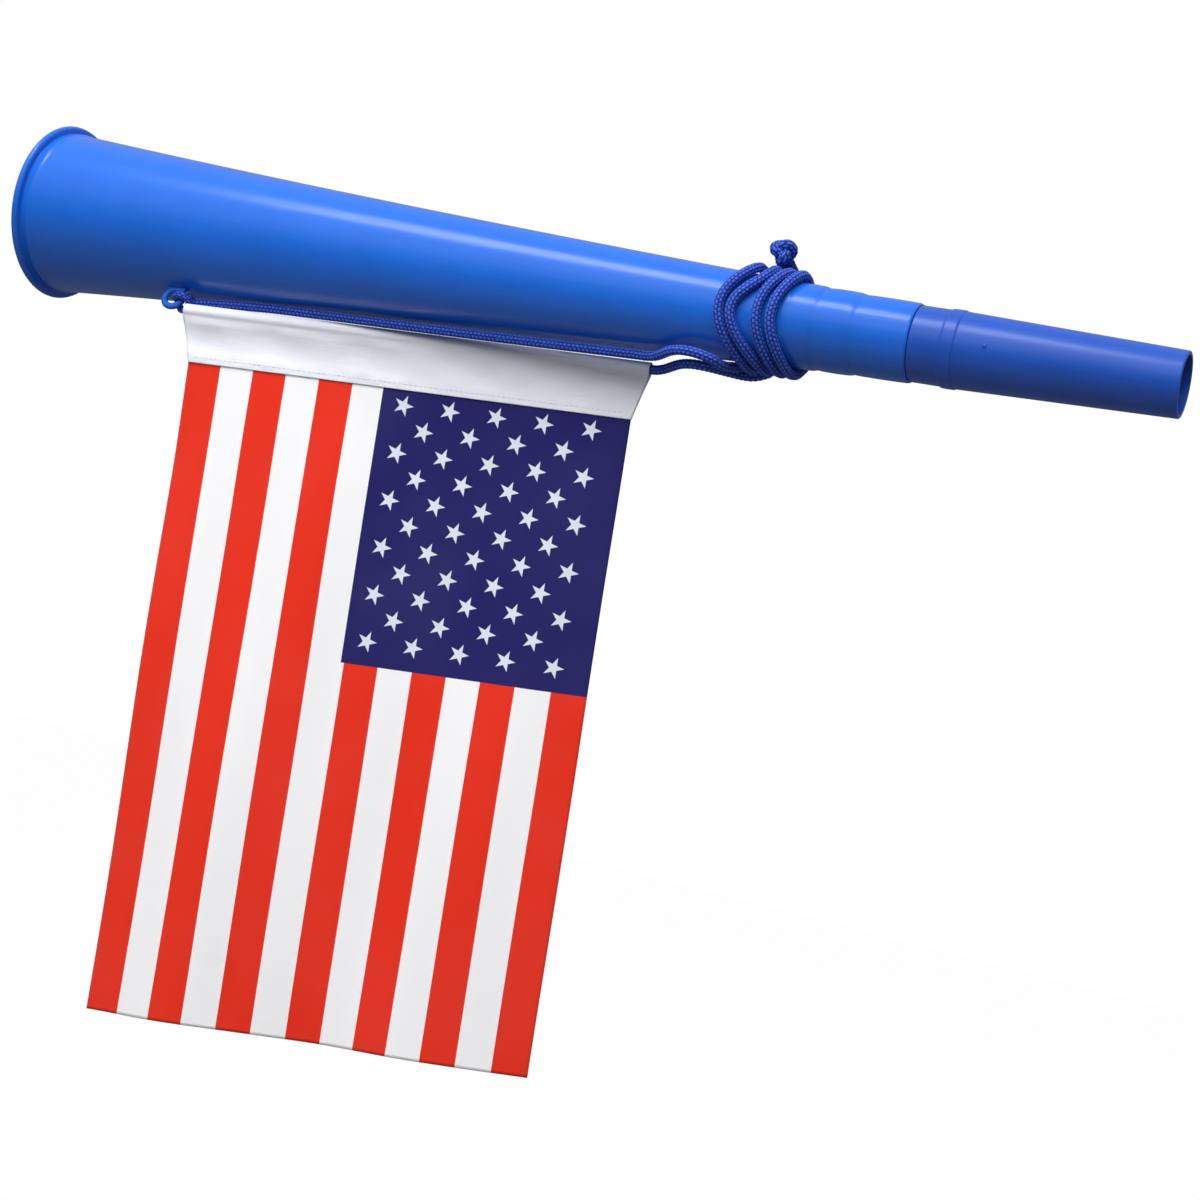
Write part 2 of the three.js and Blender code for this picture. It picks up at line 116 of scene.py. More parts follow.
@dataclass(frozen=True)
class Signal:
    """A value or a colour that runs through the nodes of one finish."""

    maker: "FinishMaker"
    socket: bpy.types.NodeSocket

    __add__ = __radd__ = two_term_sum("ADD")
    __mul__ = __rmul__ = two_term_sum("MULTIPLY")
    __sub__ = two_term_sum("SUBTRACT")
    __rsub__ = two_term_sum("SUBTRACT", swapped=True)
    __truediv__ = two_term_sum("DIVIDE")
    __rtruediv__ = two_term_sum("DIVIDE", swapped=True)
    __mod__ = two_term_sum("FLOORED_MODULO")
    __gt__ = two_term_sum("GREATER_THAN")
    __lt__ = two_term_sum("LESS_THAN")
    __abs__ = one_term_sum("ABSOLUTE")
    at_most = two_term_sum("MINIMUM")
    floor = one_term_sum("FLOOR")
    sine = one_term_sum("SINE")
    cosine = one_term_sum("COSINE")

    def ramp(self, low: float, high: float) -> "Signal":
        """Runs smoothly from 0 at low to 1 at high."""
        inputs = {"Value": self, "From Min": low, "From Max": high}
        return self.maker.signal("MapRange", inputs, interpolation_type="SMOOTHSTEP")


Term = Union[Signal, float]


class FinishMaker:
    """Makes the nodes of one finish, or of the world.

    Args:
        name: its name.
        world: whether it is a world and not a material.
    """

    def __init__(self, name: str, world: bool = False) -> None:
        """Starts with no nodes."""
        self.holder = bpy.data.worlds.new(name) if world else bpy.data.materials.new(name)
        self.holder.use_nodes = True
        self.tree = self.holder.node_tree
        self.tree.nodes.clear()

    def node(self, kind: str, inputs: Optional[dict] = None, **settings: str) -> bpy.types.Node:
        """Adds one node.

        Args:
            kind: the node's type, after ShaderNode.
            inputs: values or signals for its sockets, by name or number.
            settings: properties that are set first.

        Returns:
            The new node.
        """
        made = self.tree.nodes.new("ShaderNode" + kind)
        for key, value in settings.items():
            setattr(made, key, value)
        for key, value in (inputs or {}).items():
            if isinstance(value, Signal):
                self.tree.links.new(value.socket, made.inputs[key])
            else:
                made.inputs[key].default_value = value
        return made

    def signal(
        self, kind: str, inputs: Optional[dict] = None, output: Union[int, str] = 0, **settings: str
    ) -> Signal:
        """Adds one node and gives one of its outputs as a signal."""
        return Signal(self, self.node(kind, inputs, **settings).outputs[output])

    def math(self, operation: str, *terms: Term) -> Signal:
        """Adds one sum of terms in their order."""
        return self.signal("Math", dict(enumerate(terms)), operation=operation)

    def mix(
        self, share: Term, first: Union[Signal, Colour], second: Union[Signal, Colour]
    ) -> Signal:
        """Mixes two colours: the first where share is 0, the second where it is 1."""
        inputs = {0: share, 6: first, 7: second}
        return self.signal("Mix", inputs, 2, data_type="RGBA")

    def place(self) -> Signal:
        """Gives the place on the object, in metres."""
        return self.signal("TexCoord", output="Object")

    def flat(self) -> Signal:
        """Gives the place on the flat cloth, in metres."""
        return self.signal("UVMap", uv_map="flat")

    def parts(self, vector: Signal) -> list[Signal]:
        """Splits a vector into its three numbers."""
        made = self.node("SeparateXYZ", {0: vector})
        return [Signal(self, socket) for socket in made.outputs]

    def noise(self, vector: Signal, scale: float, detail: float = 3.0) -> Signal:
        """Gives a cloudy pattern between 0 and 1."""
        inputs = {"Vector": vector, "Scale": scale, "Detail": detail}
        return self.signal("TexNoise", inputs)

    def streaks(self, vector: Signal, scale: Point, detail: float = 3.0) -> Signal:
        """Gives a cloudy pattern with its own scale along each axis."""
        stretched = self.signal("VectorMath", {0: vector, 1: scale}, operation="MULTIPLY")
        return self.noise(stretched, 1.0, detail)

    def weave(self, flat: Signal, pitch: float) -> Signal:
        """Gives a plain weave's height, between -1 and 1."""
        warp, weft, _ = self.parts(flat)
        return (warp * (TAU / pitch)).sine() * (weft * (TAU / pitch)).sine()

    def bump(self, height: Signal, distance: float) -> Signal:
        """Raises the surface by a pattern whose full range is a distance in metres."""
        inputs = {"Height": height, "Distance": distance, "Strength": 1.0}
        return self.signal("Bump", inputs)

    def surface(self, **inputs: Union[Signal, float, Colour]) -> Material:
        """Ends the finish in its shader.

        Args:
            inputs: the shader's sockets, with underscores for spaces.

        Returns:
            The material.
        """
        named = {key.replace("_", " "): value for key, value in inputs.items()}
        self.node("OutputMaterial", {"Surface": self.signal("BsdfPrincipled", named)})
        return self.holder


@dataclass(frozen=True)
class MouldedPlastic:
    """Glossy blow-moulded plastic with faint lengthwise streaks."""

    name: str
    colour: Colour
    shade: Colour
    roughness: float
    streak_depth: float
    streak_scale: Point = (6.0, 520.0, 520.0)
    cloud_scale: float = 26.0
    grain_scale: float = 900.0
    parting_line: Pair = (0.0001, 0.0004)

    def material(self) -> Material:
        """Builds the finish.

        Returns:
            The material.
        """
        make = FinishMaker(self.name)
        place = make.place()
        _, across, _ = make.parts(place)
        streaks = make.streaks(place, self.streak_scale, 4.0)
        clouds = make.noise(place, self.cloud_scale, 2.0)
        grain = make.noise(place, self.grain_scale, 2.0)
        parting = 1.0 - abs(across).ramp(*self.parting_line)
        colour = make.mix((clouds * 0.5 + streaks * 0.5).ramp(0.3, 0.75), self.colour, self.shade)
        height = streaks * 0.8 + grain * 0.12 + clouds * 0.5 + parting * 0.6
        return make.surface(
            Base_Color=colour,
            Roughness=self.roughness + 0.10 * streaks + 0.05 * clouds,
            Normal=make.bump(height, self.streak_depth),
            IOR=1.49,
        )


@dataclass(frozen=True)
class BraidedYarn:
    """Braided cord, with painted sheen on its stitches and painted shade in the dark furrows
    between them.
    """

    name: str
    stitch_with_painted_sheen: Colour
    furrow_in_painted_shade: Colour
    fibre_scale: Point = (2600.0, 2600.0, 2600.0)
    fleck_scale: float = 700.0
    relief: float = 0.00012
    sheen: Colour = (0.35, 0.45, 1.0, 1.0)

    def material(self) -> Material:
        """Builds the finish.

        Returns:
            The material.
        """
        make = FinishMaker(self.name)
        place = make.place()
        height = make.signal("Attribute", output="Fac", attribute_name="braid")
        fibres = make.streaks(place, self.fibre_scale, 2.0)
        flecks = make.noise(place, self.fleck_scale, 1.0).ramp(0.45, 0.75)
        # The share picks the bright colour, with its painted sheen, on the stitches and random
        # flecks, and the dark colour, with its painted shade, in the furrows.
        share = (height.ramp(0.25, 0.95) * 0.85 + flecks * 0.25).at_most(1.0)
        return make.surface(
            Base_Color=make.mix(share, self.furrow_in_painted_shade, self.stitch_with_painted_sheen),
            Roughness=0.78 - 0.12 * height,
            Normal=make.bump(fibres + height * 0.4, self.relief),
            Specular_IOR_Level=0.35,
            Sheen_Weight=0.25,
            Sheen_Roughness=0.4,
            Sheen_Tint=self.sheen,
        )


@dataclass(frozen=True)
class WovenCloth:
    """Plain woven white cloth with a few creases, painted a little darker along them as shade."""

    name: str
    colour: Colour
    shade: Colour
    yarn_pitch: float = 0.0009
    crease_scale: Point = (18.0, 60.0, 1.0)
    slub_scale: Point = (90.0, 1400.0, 1.0)
    relief: float = 0.00025

    def material(self) -> Material:
        """Builds the finish.

        Returns:
            The material.
        """
        make = FinishMaker(self.name)
        flat = make.flat()
        weave = make.weave(flat, self.yarn_pitch)
        creases = make.streaks(flat, self.crease_scale)
        slub = make.streaks(flat, self.slub_scale, 2.0)
        # The shade colour is painted shade along the creases, mixed with the slubs' random tone.
        share = (creases * 0.6 + slub * 0.4).ramp(0.35, 0.8)
        return make.surface(
            Base_Color=make.mix(share, self.colour, self.shade),
            Roughness=0.82 + 0.08 * slub,
            Normal=make.bump(weave * 0.3 + creases * 3.0 + slub * 0.3, self.relief),
            Specular_IOR_Level=0.25,
            Sheen_Weight=0.15,
        )


@dataclass(frozen=True)
class PrintedFlagCloth:
    """Thin woven cloth, printed with stripes and a canton of stars.

    Lengths are in metres on the flat cloth.
    """

    name: str
    red: Colour = (0.80, 0.024, 0.004, 1.0)
    white: Colour = (0.93, 0.93, 0.94, 1.0)
    blue: Colour = (0.010, 0.0088, 0.118, 1.0)
    star_white: Colour = (0.72, 0.75, 0.85, 1.0)
    faded: Colour = (0.55, 0.57, 0.68, 1.0)
    width: float = 0.260
    stripes: int = 13
    canton_left: float = 0.1181
    canton_length: float = 0.1526
    star_radius: float = 0.0060
    first_star_across: float = 0.1312
    first_star_down: float = 0.0083
    star_spacing: float = 0.0270
    row_pitch: float = 0.0131
    rows: int = 11
    longest_row: int = 5
    star_points: int = 5
    star_blur: float = 0.00012
    canton_blur: float = 0.00015
    stripe_blur: float = 0.03
    yarn_pitch: float = 0.0008
    crease_scale: Point = (26.0, 9.0, 1.0)
    slub_scale: Point = (90.0, 1500.0, 1.0)
    fading_scale: float = 14.0
    relief: float = 0.0002

    def star_mask(self, make: FinishMaker, across: Signal, drop: Signal) -> Signal:
        """Finds the stars, in rows of five and four that each point to the right.

        Args:
            make: the finish's nodes.
            across: the distance from the cloth's left edge.
            drop: the distance from its top edge.

        Returns:
            A signal that is 1 on a star.
        """
        row_place = (drop - self.first_star_down) / self.row_pitch + 0.5
        row = row_place.floor()
        down = (row_place - row - 0.5) * self.row_pitch
        odd = row % 2.0
        column_place = (across - self.first_star_across) / self.star_spacing + 0.5 - odd * 0.5
        column = column_place.floor()
        side = (column_place - column - 0.5) * self.star_spacing
        spread = make.math("SQRT", side * side + down * down)
        turn = make.math("ARCTAN2", down, side)
        half_point = math.pi / self.star_points
        folded = abs((turn + half_point) % (2 * half_point) - half_point)
        slope = half_point / 2
        reach = folded.cosine() * spread * math.sin(slope)
        reach = reach + folded.sine() * spread * math.cos(slope)
        edge = self.star_radius * math.sin(slope)
        inside = 1.0 - reach.ramp(edge - self.star_blur, edge + self.star_blur)
        in_rows = (row > -0.5) * (row < self.rows - 0.5)
        in_columns = (column > -0.5) * (column < self.longest_row - 0.5 - odd)
        return inside * in_rows * in_columns

    def material(self) -> Material:
        """Builds the finish.

        Returns:
            The material.
        """
        make = FinishMaker(self.name)
        flat = make.flat()
        across, drop, _ = make.parts(flat)
        stripe = (across / (self.width / self.stripes)).at_most(self.stripes - 0.5)
        wave = ((stripe - 0.5) * math.pi).cosine()
        red_stripe = wave.ramp(-self.stripe_blur, self.stripe_blur)
        left, end, blur = self.canton_left, self.canton_length, self.canton_blur
        canton = across.ramp(left - blur, left + blur)
        canton = canton * (1.0 - drop.ramp(end - blur, end + blur))
        stars = self.star_mask(make, across, drop) * canton
        colour = make.mix(red_stripe, self.white, self.red)
        colour = make.mix(canton, colour, self.blue)
        colour = make.mix(stars, colour, self.star_white)
        slub = make.streaks(flat, self.slub_scale, 2.0)
        fading = make.noise(flat, self.fading_scale, 2.0).ramp(0.35, 0.75) * 0.015 + slub * 0.01
        colour = make.mix(fading, colour, self.faded)
        weave = make.weave(flat, self.yarn_pitch)
        creases = make.streaks(flat, self.crease_scale)
        return make.surface(
            Base_Color=colour,
            Roughness=0.78 + 0.1 * slub,
            Normal=make.bump(weave * 0.25 + creases * 2.2, self.relief),
            Specular_IOR_Level=0.25,
            Sheen_Weight=0.1,
        )


@dataclass(frozen=True)
class SewingThread:
    """Twisted sewing thread, painted darker in the grooves of its twist as shade."""

    name: str
    colour: Colour
    shade: Colour
    twist_pitch: float = 0.0006
    relief: float = 0.00005

    def material(self) -> Material:
        """Builds the finish.

        Returns:
            The material.
        """
        make = FinishMaker(self.name)
        along, across, up = make.parts(make.place())
        twist = ((along + across + up) * (TAU / self.twist_pitch)).sine()
        return make.surface(
            # The shade colour is painted shade in the twist's grooves, where the bump is low.
            Base_Color=make.mix(twist.ramp(-1.0, 1.0), self.shade, self.colour),
            Roughness=0.6 + 0.1 * twist,
            Normal=make.bump(twist, self.relief),
        )


def make_piece(name: str, shape: Shape, material: Material, crease: Crease) -> Piece:
    """Turns a finished shape into a piece of the model.

    Args:
        name: the piece's name.
        shape: the shape, which is freed.
        material: its finish.
        crease: which of its edges stay sharp.

    Returns:
        The new object, at the origin.
    """
    limit = math.radians(crease.value)
    for face in shape.faces:
        face.smooth = True
    for edge in shape.edges:
        if len(edge.link_faces) == 2 and edge.calc_face_angle(0.0) > limit:
            edge.smooth = False
    mesh = bpy.data.meshes.new(name)
    shape.to_mesh(mesh)
    shape.free()
    mesh.materials.append(material)
    made = bpy.data.objects.new(name, mesh)
    bpy.context.scene.collection.objects.link(made)
    return made


def hand_over(piece: Piece, body: Body, slot: str, *nodes: str) -> None:
    """Hangs a finished piece from the empty of the body that it moves with, hides the solids that
    it replaces, and logs its faces.

    Args:
        piece: the piece.
        body: the body that it rides on.
        slot: the slot of its finish; not used.
        nodes: the solids that it replaces, if there are any.
    """
    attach(piece, body.value)
    if nodes:
        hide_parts(*nodes)
    log.info("%s: %d faces", piece.name, len(piece.data.polygons))


def bake_modifiers(piece: Piece) -> None:
    """Writes a piece's modifiers into its mesh.

    Args:
        piece: the object, whose modifiers are removed.
    """
    graph = bpy.context.evaluated_depsgraph_get()
    old = piece.data
    piece.data = bpy.data.meshes.new_from_object(piece.evaluated_get(graph), depsgraph=graph)
    piece.modifiers.clear()
    bpy.data.meshes.remove(old)


def quadratic(start: Value, bend: Value, end: Value, share: float) -> Value:
    """Gives the value at a share of the way along a curve that one more value bends."""
    return (1 - share) ** 2 * start + 2 * share * (1 - share) * bend + share**2 * end


def rounded(outline: Sequence[Corner], steps: int) -> list[Pair]:
    """Rounds the corners of a closed outline.

    Args:
        outline: its corners, each with the length that its rounding takes from both sides.
        steps: the number of steps in each rounding.

    Returns:
        The outline's points.
    """
    points: list[Pair] = []
    count = len(outline)
    for i, (x, y, cut) in enumerate(outline):
        if cut <= 0:
            points.append((x, y))
            continue
        corner = Vector((x, y))
        before = (Vector(outline[i - 1][:2]) - corner).normalized() * cut + corner
        after = (Vector(outline[(i + 1) % count][:2]) - corner).normalized() * cut + corner
        for step in range(steps + 1):
            points.append(tuple(quadratic(before, corner, after, step / steps)))
    return points


def spin(shape: Shape, parts: Sequence, axis: Point, segments: int) -> None:
    """Spins an outline a full turn about an axis through the origin.

    Args:
        shape: the shape that holds the outline.
        parts: the outline's corners and edges.
        axis: the axis.
        segments: the number of facets round it.
    """
    bmesh.ops.spin(
        shape, geom=parts, cent=(0, 0, 0), axis=axis, angle=TAU, steps=segments, use_merge=True
    )
    bmesh.ops.remove_doubles(shape, verts=shape.verts[:], dist=SAME_PLACE)


def turned(outline: Sequence[Pair], segments: int = 160) -> Shape:
    """Spins a closed outline about the horn's axis.

    Args:
        outline: points of place along the axis and radius, in millimetres.
        segments: the number of facets round the axis.

    Returns:
        The closed shape, in metres.
    """
    shape = bmesh.new()
    corners = [shape.verts.new((x * MM, 0, radius * MM)) for x, radius in outline]
    edges = [shape.edges.new(pair) for pair in zip(corners, [*corners[1:], corners[0]])]
    spin(shape, [*corners, *edges], (1, 0, 0), segments)
    bmesh.ops.recalc_face_normals(shape, faces=shape.faces[:])
    return shape


def smooth_route(points: Sequence[Sequence[float]], step: float) -> list[Vector]:
    """Runs one smooth line through points, and measures it out in even steps.

    Args:
        points: places that the line passes through.
        step: the length of a step, in the unit of the points.

    Returns:
        The line's places.
    """
    levels = (((0, 1), (1, 2), (2, 3)), ((0, 2), (1, 3)), ((1, 2),))
    knots = [Vector(point) for point in points]
    knots = [knots[0] * 2 - knots[1], *knots, knots[-1] * 2 - knots[-2]]
    fine: list[Vector] = []
    for four in zip(knots, knots[1:], knots[2:], knots[3:]):
        times = [0.0]
        for first, second in zip(four, four[1:]):
            times.append(times[-1] + max((second - first).length, 1e-9) ** 0.5)
        count = max(LEAST_FINE, int((four[2] - four[1]).length / step * FINE_PER_STEP))
        for i in range(count):
            time = times[1] + (times[2] - times[1]) * i / count
            places = list(four)
            for level in levels:
                shares = [(time - times[a]) / (times[b] - times[a]) for a, b in level]
                places = [
                    first * (1 - share) + second * share
                    for first, second, share in zip(places, places[1:], shares)
                ]
            fine.append(places[0])
    fine.append(knots[-2])
    lengths = [0.0]
    for first, second in zip(fine, fine[1:]):
        lengths.append(lengths[-1] + (second - first).length)
    steps = max(2, round(lengths[-1] / step))
    even: list[Vector] = []
    place = 0
    for i in range(steps + 1):
        target = lengths[-1] * i / steps
        while place < len(fine) - 2 and lengths[place + 1] < target:
            place += 1
        span = lengths[place + 1] - lengths[place]
        share = (target - lengths[place]) / span if span > 0 else 0.0
        even.append(fine[place].lerp(fine[place + 1], share))
    return even


def share_between(value: float, low: float, high: float) -> float:
    """Gives how far a value is from low to high, never under 0 or over 1."""
    return min(1.0, max(0.0, (value - low) / (high - low)))


def route_length(route: Sequence[Vector]) -> float:
    """Adds up a line's length."""
    return sum((second - first).length for first, second in zip(route, route[1:]))


@dataclass(frozen=True)
class Lamp:
    """One soft rectangular lamp. Lengths are in metres, and its power in watts."""

    name: str
    place: Point
    aim: Point
    size: Pair
    power: float
    mirrored: bool

    def build(self) -> None:
        """Hangs the lamp, which glossy surfaces mirror only where it says so."""
        data = bpy.data.lights.new(self.name, "AREA")
        data.shape, data.size, data.size_y, data.energy = "RECTANGLE", *self.size, self.power
        lamp = bpy.data.objects.new(self.name, data)
        lamp.visible_glossy = self.mirrored
        turn = (Vector(self.aim) - Vector(self.place)).to_track_quat("-Z", "Y")
        lamp.matrix_world = Matrix.Translation(self.place) @ turn.to_matrix().to_4x4()
        bpy.context.scene.collection.objects.link(lamp)


@dataclass
class Studio:
    """Camera, lamps, world and floor. Places are in metres in the horn's frame."""

    photo_pixels: float = 1200.0
    focal_pixels: float = 2300.0
    sensor: float = 36.0
    clip: Pair = (0.05, 60.0)
    place: Point = (0.3509, -1.1245, -0.1563)
    azimuth: float = 22.09
    elevation: float = 0.14
    roll: float = 11.75
    floor_height: float = -1.15
    floor_size: float = 14.0
    floor_colour: Colour = (0.25, 0.25, 0.26, 1.0)
    floor_glow: float = 1.14
    floor_glow_share: float = 0.85
    white: Colour = (1.0, 1.0, 1.0, 1.0)
    sky_heights: Pair = (-0.4, 0.9)
    sky_strengths: Pair = (0.05, 0.52)
    lamps: tuple[Lamp, ...] = (
        Lamp("overhead_strip", (-0.45, -0.62, 1.25), (-0.25, 0.0, 0.0), (1.1, 0.4), 8.0, True),
        Lamp("front_softbox", (-0.3, -1.52, 1.56), (-0.2, 0.0, -0.1), (2.6, 2.3), 71.0, False),
    )

    def camera(self) -> None:
        """Sets the camera at the photograph's place and angle."""
        azimuth, elevation, roll = map(math.radians, (self.azimuth, self.elevation, self.roll))
        turn = Matrix.Rotation(azimuth, 4, "Z")
        turn @= Matrix.Rotation(math.pi / 2 - elevation, 4, "X") @ Matrix.Rotation(roll, 4, "Z")
        data = bpy.data.cameras.new("camera")
        data.sensor_width = self.sensor
        data.lens = self.focal_pixels / self.photo_pixels * self.sensor
        data.clip_start, data.clip_end = self.clip
        camera = bpy.data.objects.new("camera", data)
        camera.matrix_world = Matrix.Translation(self.place) @ turn
        bpy.context.scene.collection.objects.link(camera)
        bpy.context.scene.camera = camera

    def world(self) -> None:
        """Sets a white background and a soft light that is stronger from above."""
        make = FinishMaker("studio", world=True)
        bpy.context.scene.world = make.holder
        height = make.parts(make.signal("TexCoord", output="Generated"))[2]
        (low, high), (weak, strong) = self.sky_heights, self.sky_strengths
        span = {"From Min": low, "From Max": high, "To Min": weak, "To Max": strong}
        glow = make.signal("MapRange", {"Value": height, **span})
        seen = make.signal("LightPath", output="Is Camera Ray")
        strength = make.signal("Mix", {"Factor": seen, "A": glow, "B": 1.0})
        white = make.signal("Background", {"Color": self.white, "Strength": strength})
        make.node("OutputWorld", {"Surface": white})

    def floor(self) -> None:
        """Lays a plain floor, white to the camera apart from the object's soft shadow."""
        make = FinishMaker("plain_floor")
        seen = make.signal("LightPath", output="Is Camera Ray")
        lit = make.signal("BsdfDiffuse", {"Color": self.floor_colour})
        white = make.signal("Emission", {"Color": self.white, "Strength": self.floor_glow})
        pale = make.signal("MixShader", {0: self.floor_glow_share, 1: lit, 2: white})
        shown = make.signal("MixShader", {0: seen, 1: lit, 2: pale})
        make.node("OutputMaterial", {"Surface": shown})
        shape = bmesh.new()
        bmesh.ops.create_grid(shape, x_segments=8, y_segments=8, size=self.floor_size / 2)
        bmesh.ops.translate(shape, verts=shape.verts[:], vec=(0, 0, self.floor_height))
        make_piece("floor", shape, make.holder, Crease.BLENDED)

    def build(self) -> None:
        """Sets up everything round the object."""
        self.camera()
        self.world()
        self.floor()
        for lamp in self.lamps:
            lamp.build()
        log.info("studio: camera, world, floor and %d lamps", len(self.lamps))


@dataclass
class HornBody:
    """Bell, cone, neck and eyelet. Lengths are in millimetres."""

    neck_end: float = 35.0
    neck_start: float = -32.0
    cone_length: float = 446.0
    cone_bell_radius: float = 45.6
    cone_neck_radius: float = 22.3
    flare_from_neck: float = 258.0
    flare_radius: float = 32.1
    wall: float = 1.8
    rim_length: float = 12.0
    bead_radius: float = 2.0
    bead_stand: float = 4.7
    lip: float = 0.4
    groove: tuple[Corner, ...] = (
        (0.0, 0.35, 0.5), (3.0, 0.3, 0.4), (3.6, 0.75, 0.25), (5.0, 0.7, 0.3), (6.0, 0.15, 0.3),
    )
    neck: tuple[Corner, ...] = (
        (-31.4, 22.45, 0.3), (-30.2, 21.95, 1.0), (-22.5, 22.2, 6.0), (-16.4, 21.75, 1.6),
        (-14.2, 21.1, 1.1), (-12.0, 21.35, 1.1), (-4.0, 21.55, 6.0), (3.6, 21.15, 1.6),
        (5.8, 20.45, 1.1), (8.0, 20.65, 1.1), (20.0, 20.75, 8.0), (34.2, 20.38, 0.8),
        (35.0, 19.7, 0.3),
    )
    bore_radius: float = 18.3
    bore_length: float = 30.0
    bore_roundings: Pair = (0.3, 0.6)
    bead_steps: int = 12
    cone_steps: int = 40
    segments: int = 192
    eyelet_from_bell: float = 99.8
    eyelet_turn: float = 155.0
    eyelet_ring: float = 5.8
    eyelet_bar: float = 1.9
    eyelet_stand: float = 5.5
    foot_size: Point = (9.4, 3.2, 3.0)
    foot_drop: float = 5.6
    foot_spread: Pair = (1.55, 1.7)
    blend_grid: float = 0.22
    blend_softness: float = 0.5
    blend_passes: int = 6
    bar_segments: int = 16
    ring_segments: int = 56
    plastic: MouldedPlastic = MouldedPlastic(
        "horn_plastic", (0.010, 0.128, 0.62, 1.0), (0.008, 0.112, 0.56, 1.0), 0.15, 0.00006
    )

    def __post_init__(self) -> None:
        """Works out the places that follow from the lengths."""
        self.cone_start = self.neck_start - self.cone_length
        self.bell_end = self.cone_start - self.rim_length
        self.finish = self.plastic.material()

    def cone_point(self, share: float) -> Pair:
        """Gives a place on the cone's outline.

        Args:
            share: how far it is from the rim at 0 to the neck at 1.

        Returns:
            The place along the axis, and the outer radius.
        """
        bend = self.neck_start - self.flare_from_neck
        radii = (self.cone_bell_radius, self.flare_radius, self.cone_neck_radius)
        x = quadratic(self.cone_start, bend, self.neck_start, share)
        return x, quadratic(*radii, share)

    def radius(self, x: float) -> float:
        """Gives the cone's outer radius.

        Args:
            x: the place along the axis.

        Returns:
            The radius there.
        """
        low, high = 0.0, 1.0
        for _ in range(40):
            middle = (low + high) / 2
            low, high = (middle, high) if self.cone_point(middle)[0] < x else (low, middle)
        return self.cone_point(low)[1]

    def bell(self) -> None:
        """Builds the bell with its rolled rim, groove, flared cone and stepped neck."""
        start, mouth = self.bell_end, self.cone_bell_radius
        bead = mouth + self.bead_stand - self.bead_radius
        outline: list[Corner] = [(start, mouth - self.wall + self.lip, self.lip)]
        for i in range(self.bead_steps + 1):
            angle = math.pi * (1 - i / self.bead_steps)
            x = start + self.bead_radius * (1 + math.cos(angle))
            outline.append((x, bead + self.bead_radius * math.sin(angle), 0))
        groove = start + 2 * self.bead_radius
        outline += [(groove + x, mouth + stand, cut) for x, stand, cut in self.groove]
        cone = [self.cone_point(i / self.cone_steps) for i in range(self.cone_steps + 1)]
        outline += [(x, radius, 0) for x, radius in cone]
        outline += self.neck
        outer, inner = self.bore_roundings
        outline.append((self.neck_end, self.bore_radius, outer))
        outline.append((self.neck_end - self.bore_length, self.bore_radius, inner))
        outline += [(x, radius - self.wall, 0) for x, radius in reversed(cone)]
        shape = turned(rounded(outline, 4), self.segments)
        piece = make_piece("bell_and_neck", shape, self.finish, Crease.MOULDED)
        hand_over(piece, Body.HORN, "horn_plastic", "horn_bell")

    def eyelet_frame(self) -> tuple[Vector, Vector, Vector]:
        """Finds the eyelet's place on the cone.

        Returns:
            The ring's centre, the direction away from the cone, and the ring's axis.
        """
        x = self.bell_end + self.eyelet_from_bell
        angle = math.radians(self.eyelet_turn)
        outward = Vector((0, -math.sin(angle), math.cos(angle)))
        centre = Vector((x, 0, 0)) + outward * (self.radius(x) + self.eyelet_stand)
        return centre, outward, ALONG_HORN.cross(outward)

    def eyelet(self) -> None:
        """Builds the moulded ring on its foot, blended into one shape."""
        centre, outward, across = self.eyelet_frame()
        shape = bmesh.new()
        profile = bmesh.ops.create_circle(
            shape, segments=self.bar_segments, radius=self.eyelet_bar * MM
        )["verts"]
        bmesh.ops.rotate(shape, verts=profile, matrix=Matrix.Rotation(math.pi / 2, 3, "X"))
        bmesh.ops.translate(shape, verts=profile, vec=(self.eyelet_ring * MM, 0, 0))
        edges = list({edge for vert in profile for edge in vert.link_edges})
        spin(shape, [*profile, *edges], (0, 0, 1), self.ring_segments)
        foot = bmesh.ops.create_cube(shape, size=1)["verts"]
        bmesh.ops.scale(shape, verts=foot, vec=Vector(self.foot_size) * MM)
        bmesh.ops.translate(shape, verts=foot, vec=(0, -self.foot_drop * MM, 0))
        for vert in foot:
            if vert.co.y < -self.foot_drop * MM:
                vert.co.x *= self.foot_spread[0]
                vert.co.z *= self.foot_spread[1]
        bmesh.ops.recalc_face_normals(shape, faces=shape.faces[:])
        turn = Matrix((ALONG_HORN, outward, across)).transposed().to_4x4()
        place = Matrix.Translation(centre * MM) @ turn
        bmesh.ops.transform(shape, verts=shape.verts[:], matrix=place)
        piece = make_piece("moulded_eyelet", shape, self.finish, Crease.BLENDED)
        blend = piece.modifiers.new("blend", "REMESH")
        blend.mode, blend.voxel_size = "VOXEL", self.blend_grid * MM
        blend.use_smooth_shade = True
        soften = piece.modifiers.new("soften", "SMOOTH")
        soften.factor, soften.iterations = self.blend_softness, self.blend_passes
        bake_modifiers(piece)
        hand_over(piece, Body.HORN, "horn_plastic", "cord_eyelet")

    def build(self) -> None:
        """Builds every piece of the horn's body."""
        self.bell()
        self.eyelet()


